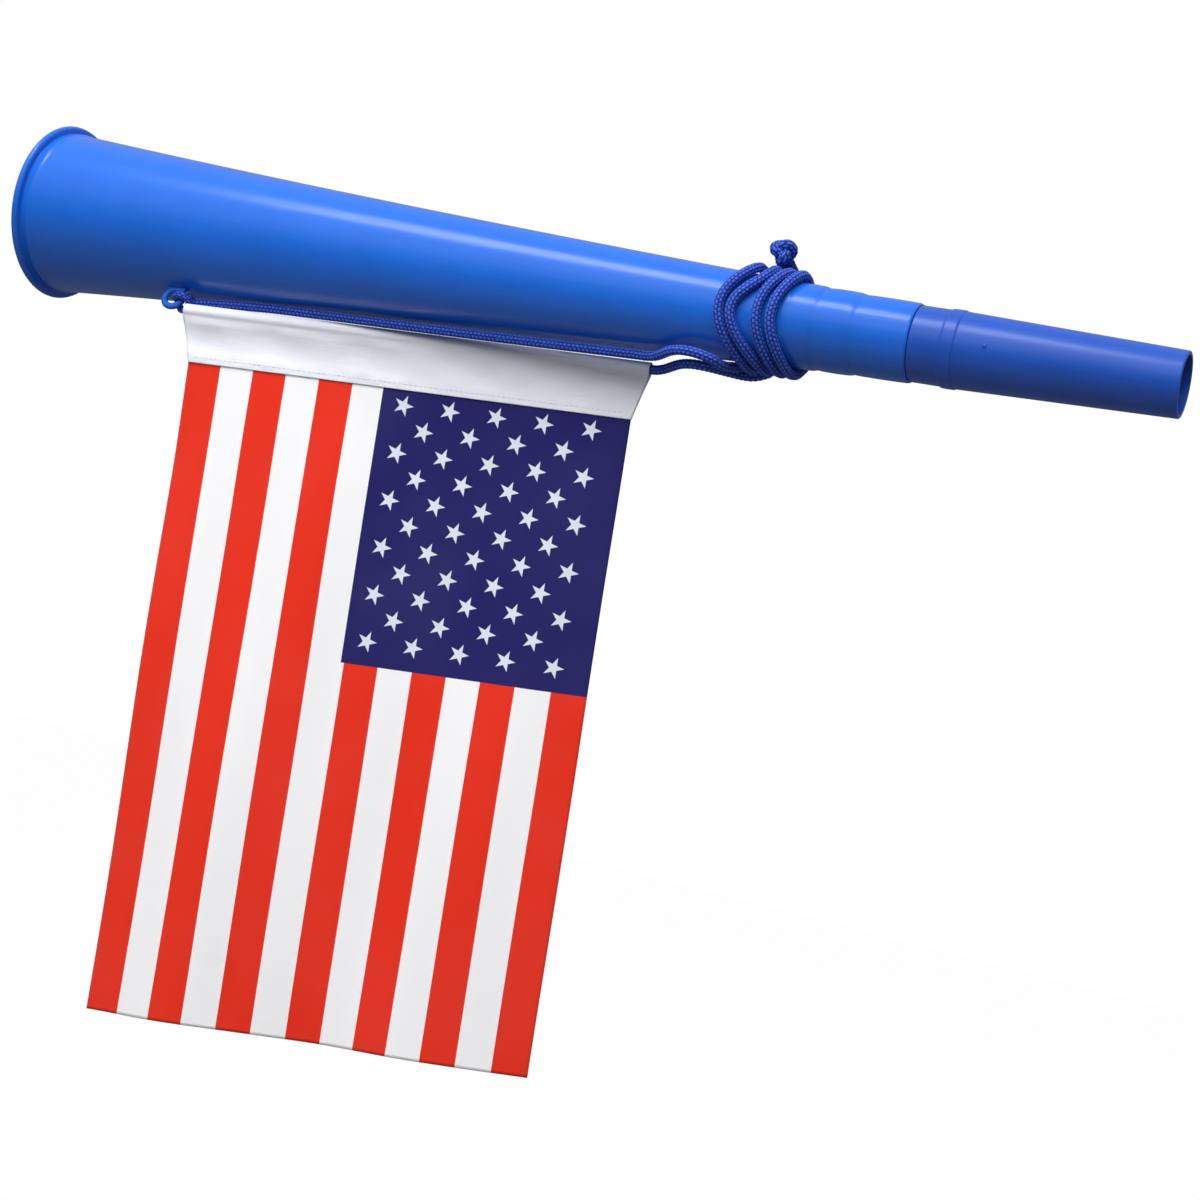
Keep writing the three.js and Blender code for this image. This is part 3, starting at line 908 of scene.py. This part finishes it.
@dataclass
class Mouthpiece:
    """The tube that pulls off, with its cup. Lengths are in millimetres."""

    shoulder: float = 35.3
    spigot_length: float = 24.0
    spigot_radius: float = 18.0
    shoulder_radius: float = 19.5
    ridge_radius: float = 20.1
    ridge_start: float = 51.0
    tube_start: float = 58.7
    tube_end: float = 170.0
    start_radius: float = 19.6
    end_radius: float = 16.7
    wall: float = 2.0
    shoulder_taper: float = 0.05
    ridge_rise: float = 0.7
    ridge_fall: float = 0.8
    end_bevel: Pair = (0.3, 0.5)
    nub_radius: float = 1.3
    nub_width: float = 0.55
    nub_place: Point = (74.0, -19.05, 1.2)
    cup_outside: tuple[Corner, ...] = (
        (114.0, 7.5, 0.3), (114.0, 9.0, 0.3), (131.5, 7.6, 0.5), (141.5, 9.6, 1.0),
        (152.4, 14.25, 0.6), (154.0, 14.78, 0.3), (166.0, 14.45, 0.4),
    )
    funnel_places: Point = (166.0, 150.7, 132.0)
    funnel_radii: Point = (13.0, 9.4, 6.0)
    funnel_steps: int = 10
    plastic: MouldedPlastic = MouldedPlastic(
        "mouthpiece_plastic", (0.011, 0.080, 0.44, 1.0), (0.009, 0.066, 0.39, 1.0), 0.23, 0.00005
    )

    def __post_init__(self) -> None:
        """Makes the finish."""
        self.finish = self.plastic.material()

    def inner(self, x: float) -> float:
        """Gives the tube's inner radius at a place along the axis."""
        share = (x - self.tube_start) / (self.tube_end - self.tube_start)
        return self.start_radius + (self.end_radius - self.start_radius) * share - self.wall

    def tube(self) -> None:
        """Builds the spigot, shoulder, ridge and tapered tube."""
        bore = self.spigot_radius - self.wall
        inner_end = self.shoulder - self.spigot_length
        bevel_length, bevel_height = self.end_bevel
        outline = [
            (inner_end, self.spigot_radius, 0.5),
            (self.shoulder, self.spigot_radius, 0.1),
            (self.shoulder, self.shoulder_radius, 0.5),
            (self.ridge_start, self.shoulder_radius - self.shoulder_taper, 0.3),
            (self.ridge_start + self.ridge_rise, self.ridge_radius, 0.5),
            (self.tube_start - self.ridge_fall, self.ridge_radius, 0.5),
            (self.tube_start, self.start_radius, 0.3),
            (self.tube_end - bevel_length, self.end_radius, 0.5),
            (self.tube_end, self.end_radius - bevel_height, 0.2),
            (self.tube_end, self.inner(self.tube_end), 0.4),
            (self.tube_start, self.inner(self.tube_start), 0.6),
            (self.shoulder, bore, 0.6),
            (inner_end, bore, 0.3),
        ]
        shape = turned(rounded(outline, 4))
        nub = bmesh.ops.create_uvsphere(
            shape, u_segments=16, v_segments=10, radius=self.nub_radius * MM
        )["verts"]
        bmesh.ops.scale(shape, verts=nub, vec=(1.0, self.nub_width, 1.0))
        bmesh.ops.translate(shape, verts=nub, vec=Vector(self.nub_place) * MM)
        piece = make_piece("mouthpiece_tube_skin", shape, self.finish, Crease.MOULDED)
        hand_over(piece, Body.MOUTHPIECE, "mouthpiece_plastic", "mouthpiece_tube")

    def cup(self) -> None:
        """Builds the funnel and throat inside the tube."""
        outline = [*self.cup_outside]
        for i in range(self.funnel_steps + 1):
            share = i / self.funnel_steps
            x = quadratic(*self.funnel_places, share)
            outline.append((x, quadratic(*self.funnel_radii, share), 0))
        shape = turned(rounded(outline, 3), 128)
        piece = make_piece("blowing_cup", shape, self.finish, Crease.MOULDED)
        hand_over(piece, Body.MOUTHPIECE, "mouthpiece_plastic", "mouthpiece_cup")

    def build(self) -> None:
        """Builds every piece of the mouthpiece."""
        self.tube()
        self.cup()


@dataclass
class CordWork:
    """The doubled braided cord.

    Lengths are in millimetres, and turns count from the first pass over the top.
    """

    horn: HornBody
    diameter: float = 5.5
    winding_start: float = -0.5
    winding_end: float = 3.6
    winding_pitch: float = 9.5
    winding_tightening: float = 0.5
    winding_top: float = -54.3
    clearance: float = 0.5
    front_bows: tuple[float, ...] = (12.0, 14.2, 8.1, 7.1)
    upper_sharpness: tuple[float, ...] = (2.7, 5.0, 2.5, 2.7)
    lower_sharpness: tuple[float, ...] = (2.5, 2.5, 2.4, 2.7)
    stitch_pitch: float = 2.4
    stitch_columns: int = 8
    stitch_lean: float = 0.25
    stitch_width_sharpness: float = 2.5
    stitch_length_sharpness: float = 3.0
    steps_per_stitch: int = 6
    steps_per_path_place: int = 3
    furrow_depth: float = 0.16
    sides: int = 32
    points_per_turn: int = 24
    # The first colour is the yarn with painted sheen on its stitches; the second is the yarn with
    # painted shade in its furrows.
    yarn: BraidedYarn = BraidedYarn(
        "braided_cord", (0.046, 0.150, 0.80, 1.0), (0.008, 0.014, 0.15, 1.0)
    )
    from_hitch: tuple[Point, ...] = (
        (-380.2, -15.0, -42.2), (-374.8, -15.2, -41.5), (-370.0, -15.0, -40.9),
        (-363.0, -14.6, -40.1), (-355.0, -14.2, -39.3), (-345.0, -13.7, -38.5),
        (-330.0, -13.0, -37.5), (-300.0, -12.4, -36.4), (-256.0, -11.4, -34.9),
        (-219.0, -10.6, -33.6), (-182.0, -9.8, -32.2),
    )
    bight: tuple[Point, ...] = (
        (-145.0, -9.2, -30.7), (-120.0, -9.0, -29.7), (-109.5, -9.0, -29.3),
        (-103.4, -9.6, -29.2), (-98.4, -11.6, -28.7), (-93.6, -14.8, -27.5),
        (-88.6, -18.2, -25.8), (-82.2, -21.2, -24.8), (-76.6, -21.8, -24.7),
        (-71.6, -21.2, -25.1), (-67.2, -19.4, -25.9), (-63.6, -16.9, -26.9),
        (-61.2, -13.6, -27.9), (-59.6, -8.6, -27.9),
    )
    climb_to_knot: tuple[Point, ...] = (
        (-26.6, 20.0, -17.4), (-26.9, 25.2, -12.8), (-27.9, 29.4, -6.8), (-29.9, 31.5, 0.5),
        (-32.4, 30.6, 8.2), (-35.1, 27.7, 15.4), (-37.8, 23.3, 21.7), (-40.2, 18.0, 26.6),
        (-42.2, 12.9, 30.3), (-43.3, 7.6, 33.4), (-44.0, 3.0, 34.9),
    )
    sleeve_start: Point = (-379.0, -20.7, -46.96)
    sleeve_end: Point = (-109.3, 13.4, -33.4)
    sleeve_stretches: int = 7
    behind_neck: tuple[Point, ...] = (
        (-106.3, 13.8, -33.2), (-102.0, 13.4, -32.1), (-97.5, 11.4, -30.5), (-92.8, 8.2, -29.2),
        (-88.0, 5.4, -28.4), (-83.0, 4.1, -28.0), (-78.0, 4.8, -27.9), (-73.3, 7.2, -27.9),
        (-68.8, 10.6, -28.0), (-63.8, 14.0, -28.1), (-57.8, 16.1, -28.3),
        (-52.9, 17.1, -27.8), (-48.9, 19.1, -26.1), (-46.1, 22.3, -23.5), (-45.0, 25.8, -19.5),
        (-45.0, 28.9, -14.1), (-45.1, 31.3, -7.3), (-45.5, 32.1, 0.0), (-46.1, 31.3, 7.2),
        (-46.9, 29.0, 14.1), (-47.7, 25.1, 20.4), (-48.3, 20.1, 25.8), (-48.7, 15.2, 29.8),
        (-48.6, 10.6, 33.2), (-47.8, 6.0, 35.6), (-46.2, 2.4, 36.6),
    )
    knot_centre: Point = (-44.8, 0.0, 36.6)
    knot_reach: Point = (1.62, 2.7, 1.72)
    knot_cord_radius: float = 2.8
    knot_steps: int = 46
    hitch_cord_radius: float = 2.1
    hitch_loop: float = 4.2
    hitch_aim: float = -3.0
    hitch_start: float = -0.9
    hitch_turns: float = 1.3
    hitch_pitch: float = 3.0
    hitch_slack: float = 5.5
    hitch_steps: int = 47

    def __post_init__(self) -> None:
        """Makes the finish, and works out the length of a step along the cord."""
        self.finish = self.yarn.material()
        self.step = self.stitch_pitch / self.steps_per_stitch

    def winding_point(self, turn: float) -> Point:
        """Gives a place on the winding's centreline.

        Args:
            turn: how many turns it has run.

        Returns:
            The place.
        """
        angle = turn * TAU
        strand = max(0, min(len(self.front_bows) - 1, math.floor(turn)))
        upper = math.cos(angle) > 0
        sharpness = (self.upper_sharpness if upper else self.lower_sharpness)[strand]
        front = max(0.0, math.sin(angle)) ** sharpness
        run = self.winding_pitch * turn - self.winding_tightening * turn**2
        bow = self.front_bows[strand] * front if turn > 0 else 0.0
        x = self.winding_top + run - bow
        radius = self.horn.radius(x) + self.clearance + self.diameter / 2
        return x, -radius * math.sin(angle), radius * math.cos(angle)

    def stitch_height(self, along: float, around: float) -> float:
        """Gives the height of the braid's stitches, from 0 in the furrows between them to 1 on
        their crests. It also picks the finish's painted sheen and painted shade.

        Args:
            along: the distance along the cord.
            around: the share of a turn round it.

        Returns:
            The height.
        """
        column, side = divmod(around * self.stitch_columns, 1.0)
        odd = column % 2
        lean = (self.stitch_lean if odd else -self.stitch_lean) * (side - 0.5)
        stage = (along / self.stitch_pitch + 0.5 * odd + lean) % 1.0
        width = 1 - abs(2 * side - 1) ** self.stitch_width_sharpness
        return width * (1 - abs(2 * stage - 1) ** self.stitch_length_sharpness)

    def braid(self, name: str, route: Sequence[Vector], radius: float, *nodes: str) -> Piece:
        """Builds a length of braided cord along a route.

        Args:
            name: the piece's name.
            route: evenly spaced places along its centreline, in millimetres.
            radius: the cord's radius over its stitches.
            nodes: the solids that it replaces.

        Returns:
            The piece, with a braid attribute for its finish.
        """
        curve = bpy.data.curves.new(name + "_line", "CURVE")
        curve.dimensions = "3D"
        curve.bevel_depth = radius * MM
        # A round bevel has four sides, and two more for each step of its resolution.
        curve.bevel_resolution = self.sides // 2 - 2
        spline = curve.splines.new("POLY")
        spline.points.add(len(route) - 1)
        for point, place in zip(spline.points, route):
            point.co = (*(place * MM), 1.0)
        line = bpy.data.objects.new(name + "_line", curve)
        bpy.context.scene.collection.objects.link(line)
        graph = bpy.context.evaluated_depsgraph_get()
        graph.update()
        mesh = bpy.data.meshes.new_from_object(line.evaluated_get(graph), depsgraph=graph)
        bpy.data.objects.remove(line)
        shape = bmesh.new()
        shape.from_mesh(mesh)
        bpy.data.meshes.remove(mesh)
        shape.verts.ensure_lookup_table()
        ring = len(shape.verts) // len(route)
        ends = [edge for edge in shape.edges if len(edge.link_faces) == 1]
        bmesh.ops.holes_fill(shape, edges=ends, sides=ring)
        layer = shape.verts.layers.float.new("braid")
        for number, vert in enumerate(shape.verts):
            stage, side = divmod(number, ring)
            centre = route[min(stage, len(route) - 1)] * MM
            height = self.stitch_height(stage * self.step, side / ring)
            # The braid height also picks where the finish paints sheen and shade.
            vert[layer] = height
            vert.co = centre + (vert.co - centre) * (1 - self.furrow_depth * (1 - height))
        made = make_piece(name, shape, self.finish, Crease.BRAIDED)
        hand_over(made, Body.HORN, "braided_cord", *nodes)
        return made

    def declare(
        self, piece: Piece, route: Sequence[Vector]
    ) -> None:
        """Measures a cord along its route and logs its length.

        Args:
            piece: the cord's piece.
            route: its centreline, in millimetres.
        """
        path = [tuple(place * MM) for place in route[:: self.steps_per_path_place]]
        if (len(route) - 1) % self.steps_per_path_place:
            path.append(tuple(route[-1] * MM))
        length = route_length(route) * MM
        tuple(path[0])
        log.info("%s: %.3f m of cord", piece.name, length)

    def front_cord(self, extras: Sequence[Piece]) -> None:
        """Builds the upper strand, its bight and the turns round the neck as one cord.

        Args:
            extras: the knot and the hitch that it is tied in; not used.
        """
        start, turned_by = self.winding_start, self.winding_end - self.winding_start
        steps = round(turned_by * self.points_per_turn)
        turns = [self.winding_point(start + turned_by * i / steps) for i in range(steps + 1)]
        points = [*self.from_hitch, *self.bight, *turns, *self.climb_to_knot]
        route = smooth_route(points, self.step)
        nodes = ("cord_upper_strand", "cord_neck_winding")
        piece = self.braid("cord_strand_and_neck_turns", route, self.diameter / 2, *nodes)
        self.declare(piece, route)

    def back_cord(self) -> None:
        """Builds the strand through the flag's sleeve and up the horn's back."""
        start, end = Vector(self.sleeve_start), Vector(self.sleeve_end)
        count = self.sleeve_stretches
        straight = [start.lerp(end, i / count) for i in range(count + 1)]
        route = smooth_route([*straight, *self.behind_neck], self.step)
        piece = self.braid("cord_in_sleeve", route, self.diameter / 2, "cord_sleeve_strand")
        self.declare(piece, route)

    def knot(self) -> Piece:
        """Builds the knot as a tight trefoil of braided cord, facing the front.

        Returns:
            The piece.
        """
        points = []
        across, depth, height = self.knot_reach
        for i in range(self.knot_steps + 2):
            t = TAU * i / self.knot_steps
            x = (math.sin(t) + 2 * math.sin(2 * t)) * across
            z = (math.cos(t) - 2 * math.cos(2 * t)) * height
            points.append(Vector(self.knot_centre) + Vector((x, math.sin(3 * t) * depth, z)))
        route = smooth_route(points, self.step)
        return self.braid("cord_knot_loops", route, self.knot_cord_radius, "cord_knot")

    def hitch(self) -> Piece:
        """Builds the cord's loop round the eyelet's bar.

        Returns:
            The piece.
        """
        centre, outward, across = self.horn.eyelet_frame()
        aim = math.radians(self.hitch_aim)
        radial = ALONG_HORN * math.cos(aim) + outward * math.sin(aim)
        tangent = outward * math.cos(aim) - ALONG_HORN * math.sin(aim)
        points = []
        for i in range(self.hitch_steps + 1):
            share = i / self.hitch_steps
            t = TAU * self.hitch_turns * share + self.hitch_start
            slack = self.hitch_slack * max(0.0, math.sin(t)) ** 2 if t < math.pi else 0.0
            place = centre + radial * (self.horn.eyelet_ring + self.hitch_loop * math.cos(t))
            place += across * self.hitch_loop * math.sin(t)
            points.append(place + tangent * ((share - 0.5) * self.hitch_pitch + slack))
        route = smooth_route(points, self.step)
        nodes = ("eyelet_hitch",)
        return self.braid("cord_hitch_on_eyelet", route, self.hitch_cord_radius, *nodes)

    def build(self) -> None:
        """Builds every piece of the cord."""
        self.front_cord([self.knot(), self.hitch()])
        self.back_cord()


@dataclass(frozen=True)
class Ripple:
    """A small wave of the cloth. Lengths are in millimetres, for a turn of one radian."""

    height: float
    across: float
    down: float
    phase: float

    def at(self, across: float, down: float) -> float:
        """Gives the wave's depth at a place of the cloth."""
        return self.height * math.sin(across / self.across + down / self.down + self.phase)


@dataclass
class Flag:
    """Header and field, hung from the sleeve line. Lengths are in millimetres."""

    sleeve_left: Point = (-379.8, -20.8, -47.0)
    sleeve_right: Point = (-109.3, 13.4, -33.4)
    header_drop: float = 28.6
    overhang: float = 6.5
    tunnel_radius: float = 3.6
    tunnel_depth: float = 3.85
    wrap_start: float = -38.0
    wrap_turn: float = 256.0
    wrap_steps: int = 14
    field_length: float = 361.5
    hem_slant: float = 6.8
    tucked: float = 4.5
    fold_depth: float = 3.5
    folds_across: float = 1.7
    fold_start: float = 7.0
    fold_phase: float = 0.6
    fold_drift: float = 0.9
    fold_growth: float = 0.8
    header_thickness: float = 0.42
    field_thickness: float = 0.3
    header_front: tuple[Pair, ...] = (
        (-1.5, -6.4), (-0.85, -10.5), (-0.65, -17.0), (-0.62, -23.0), (-0.62, -28.4),
    )
    header_ripples: tuple[Ripple, ...] = (
        Ripple(0.25, 9.0, -5.0, 0.0), Ripple(0.15, 4.3, 7.0, 1.3),
    )
    field_ripples: tuple[Ripple, ...] = (
        Ripple(0.5, 11.0, 60.0, 0.0), Ripple(0.35, 23.0, -37.0, 2.0),
    )
    swell: Ripple = Ripple(0.8, math.inf, 27.0 / TAU, -9.5 / 27.0 * TAU)
    swell_starts: Pair = (3.0, 7.0)
    swell_ends: float = 8.0
    swell_least: float = 0.12
    swell_middle: float = -30.0
    swell_fade: float = 28.0
    end_swell: float = 0.35
    end_length: float = 10.0
    pucker_depth: float = 0.12
    pucker_run: float = 2.1
    pucker_reach: float = 2.2
    field_ease: float = 60.0
    curl_depth: float = 0.9
    curl_run: float = 41.0
    curled_share: float = 0.1
    header_cells: tuple[int, int] = (220, 130)
    field_cells: tuple[int, int] = (150, 200)
    section_step: float = 0.5
    stitch_margin: float = 4.0
    stitch_drop: float = 25.2
    stitch_pitch: float = 3.0
    stitch_depth: float = 0.86
    stitch_size: Point = (1.12, 0.22, 0.24)
    # The second colour is painted shade for the header's creases, with some random slub tone.
    header_cloth: WovenCloth = WovenCloth(
        "header_cloth", (0.88, 0.90, 0.96, 1.0), (0.80, 0.83, 0.92, 1.0)
    )
    field_cloth: PrintedFlagCloth = PrintedFlagCloth("printed_flag_cloth")
    # The second colour is painted shade for the thread's twist grooves.
    thread: SewingThread = SewingThread(
        "white_thread", (0.80, 0.82, 0.88, 1.0), (0.56, 0.574, 0.66, 1.0)
    )

    def __post_init__(self) -> None:
        """Works out the flag's own axes."""
        left, right = Vector(self.sleeve_left), Vector(self.sleeve_right)
        self.along = (right - left).normalized()
        self.up = -(Vector((0, 0, -1)) + self.along * self.along.z).normalized()
        self.facing = self.up.cross(self.along)
        self.middle = (left + right) / 2
        self.sleeve_length = (right - left).length
        self.field_width = self.sleeve_length - 2 * self.overhang

    def placed(self, across: float, depth: float, height: float) -> Vector:
        """Puts a place in the flag's own axes into the horn's frame, in metres."""
        return (self.middle + self.along * across + self.facing * depth + self.up * height) * MM

    def hung(self, across: float, depth: float, drop: float) -> Vector:
        """Puts a place of the cloth in its soft folds, with its hem lower at its left.

        Args:
            across: the distance from the flag's middle.
            depth: the distance behind the cloth's middle line.
            drop: the distance below the cord.

        Returns:
            The place, in metres.
        """
        hem = self.header_drop + self.field_length
        share = max(0.0, (drop - self.fold_start) / (hem - self.fold_start))
        turn = TAU * self.folds_across * (across / self.field_width)
        wave = math.sin(turn + self.fold_phase + self.fold_drift * share)
        slant = self.hem_slant * share * across / (self.field_width / 2)
        fold = self.fold_depth * share**self.fold_growth * wave
        return self.placed(across, depth + fold, slant - drop)

    def cloth(
        self,
        name: str,
        size: Pair,
        cells: tuple[int, int],
        surface: Callable[[float, float], Vector],
        material: Material,
        thickness: float,
    ) -> Piece:
        """Builds one sheet of cloth.

        Args:
            name: the piece's name.
            size: its flat width and length, in metres.
            cells: its cells across and along.
            surface: gives the place of a point of the flat sheet, in metres.
            material: its finish.
            thickness: its thickness in millimetres.

        Returns:
            The piece, with the flat places as its UV map.
        """
        shape = bmesh.new()
        bmesh.ops.create_grid(shape, x_segments=cells[0], y_segments=cells[1], size=0.5)
        flat = shape.loops.layers.uv.new("flat")
        for face in shape.faces:
            for loop in face.loops:
                x, y, _ = loop.vert.co
                loop[flat].uv = ((x + 0.5) * size[0], (0.5 - y) * size[1])
        for vert in shape.verts:
            x, y, _ = vert.co
            vert.co = surface((x + 0.5) * size[0], (0.5 - y) * size[1])
        made = make_piece(name, shape, material, Crease.WOVEN)
        thick = made.modifiers.new("thickness", "SOLIDIFY")
        thick.thickness, thick.offset = thickness * MM, 0.0
        bake_modifiers(made)
        return made

    def header_section(self) -> list[Vector]:
        """Gives the header's section: up its back, over the tunnel and down its front.

        Returns:
            The section's places, in even steps.
        """
        points = [(-depth, height) for depth, height in reversed(self.header_front)]
        for i in range(self.wrap_steps + 1):
            angle = math.radians(self.wrap_start + self.wrap_turn * i / self.wrap_steps)
            place = (self.tunnel_radius * math.cos(angle), self.tunnel_radius * math.sin(angle))
            points.append(place)
        points += self.header_front
        places = [(0, depth, height) for depth, height in points]
        return smooth_route(places, self.section_step)

    def header_across(self, across: float, drop: float) -> float:
        """Narrows the header from its sleeve down to the field's width."""
        share = max(0.0, (drop - self.tunnel_depth) / (self.header_drop - self.tunnel_depth))
        return across * (1 - share * self.overhang / (self.sleeve_length / 2))

    def header_wave(self, across: float, drop: float) -> float:
        """Gives the soft swell of the header's skirt, strongest at its left.

        Args:
            across: the distance from the flag's middle.
            drop: the distance below the cord.

        Returns:
            The swell's depth.
        """
        inside = share_between(drop, *self.swell_starts)
        inside *= share_between(self.header_drop - drop, 0.0, self.swell_ends)
        fading = 1 + math.exp((across - self.swell_middle) / self.swell_fade)
        left = self.swell_least + (1 - self.swell_least) / fading
        from_end = self.sleeve_length / 2 - abs(across)
        end = min(1.0, from_end / self.end_length + self.end_swell)
        ripples = sum(ripple.at(across, drop) for ripple in self.header_ripples)
        return inside * end * (left * self.swell.at(across, drop) + ripples)

    def header(self) -> None:
        """Builds the header as one folded band of cloth, with its seam's stitches."""
        section = self.header_section()
        run = route_length(section)
        flat = (self.sleeve_length * MM, run * MM)

        def surface(across: float, down: float) -> Vector:
            """Wraps a point of the flat band over the cord.

            Args:
                across: its distance from the band's left edge, in metres.
                down: its distance from the hem behind, over the cord, in metres.

            Returns:
                The place, in metres.
            """
            place = min(len(section) - 1.0, down / (run * MM) * (len(section) - 1))
            low = int(place)
            point = section[low].lerp(section[min(low + 1, len(section) - 1)], place - low)
            drop = -point.z
            x = self.header_across(across / MM - self.sleeve_length / 2, drop)
            from_seam = (drop - self.stitch_drop) / self.pucker_reach
            pucker = self.pucker_depth * math.sin(x / self.pucker_run) * math.exp(-(from_seam**2))
            return self.hung(x, point.y + self.header_wave(x, drop) + pucker, drop)

        finish = self.header_cloth.material()
        cells, thickness = self.header_cells, self.header_thickness
        piece = self.cloth("header_band", flat, cells, surface, finish, thickness)
        hand_over(piece, Body.FLAG, "header_cloth", "flag_header")
        stitches = self.stitches()
        log.info("header: %.0f by %.0f mm of cloth", flat[0] / MM, flat[1] / MM)

    def stitches(self) -> Piece:
        """Builds the row of stitches on both sides of the header, near its lower edge.

        Returns:
            The piece.
        """
        shape = bmesh.new()
        width = self.header_across(self.sleeve_length, self.stitch_drop) - 2 * self.stitch_margin
        count = int(width / self.stitch_pitch)
        turn = Matrix((self.along, self.facing, self.up)).transposed().to_4x4()
        for side in (-1, 1):
            for i in range(count):
                x = self.stitch_pitch * (i + 0.5) - width / 2
                depth = side * self.stitch_depth + self.header_wave(x, self.stitch_drop)
                place = Matrix.Translation(self.hung(x, depth, self.stitch_drop)) @ turn
                thread = bmesh.ops.create_icosphere(shape, subdivisions=1, radius=1.0)["verts"]
                bmesh.ops.scale(shape, verts=thread, vec=Vector(self.stitch_size) * MM)
                bmesh.ops.transform(shape, verts=thread, matrix=place)
        made = make_piece("header_stitches", shape, self.thread.material(), Crease.STITCHED)
        hand_over(made, Body.FLAG, "header_cloth")
        return made

    def field(self) -> None:
        """Builds the printed field, tucked into the header."""
        flat = (self.field_width * MM, (self.field_length + self.tucked) * MM)

        def surface(across: float, down: float) -> Vector:
            """Hangs a point of the flat sheet under the header.

            Args:
                across: its distance from the sheet's left edge, in metres.
                down: its distance from the sheet's top edge, in metres.

            Returns:
                The place, in metres.
            """
            x = across / MM - self.field_width / 2
            drop = down / MM + self.header_drop - self.tucked
            share = share_between(drop, self.header_drop, self.header_drop + self.field_ease)
            small = sum(ripple.at(x, drop) for ripple in self.field_ripples)
            edge = share_between(abs(x) / (self.field_width / 2), 1.0 - self.curled_share, 1.0)
            lag = 1.0 if x > 0 else 0.0
            curl = self.curl_depth * edge * math.sin(drop / self.curl_run + lag)
            depth = self.header_wave(x, min(drop, self.header_drop)) * (1 - share)
            return self.hung(x, depth + share * (small + curl), drop)

        finish = self.field_cloth.material()
        cells, thickness = self.field_cells, self.field_thickness
        piece = self.cloth("printed_field", flat, cells, surface, finish, thickness)
        for loop in piece.data.uv_layers["flat"].data:
            loop.uv.y -= self.tucked * MM
        hand_over(piece, Body.FLAG, "flag_cloth", "flag_field")
        log.info("field: %.0f by %.0f mm of cloth", flat[0] / MM, flat[1] / MM)

    def build(self) -> None:
        """Builds every piece of the flag."""
        self.header()
        self.field()


def main() -> None:
    """Builds the studio and every piece."""
    bpy.context.scene.view_settings.view_transform = "Standard"
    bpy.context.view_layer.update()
    Studio().build()
    horn = HornBody()
    CordWork(horn).build()
    horn.build()
    Mouthpiece().build()
    Flag().build()
    log.info("sizes kept")


if __name__ == "__main__":
    main()
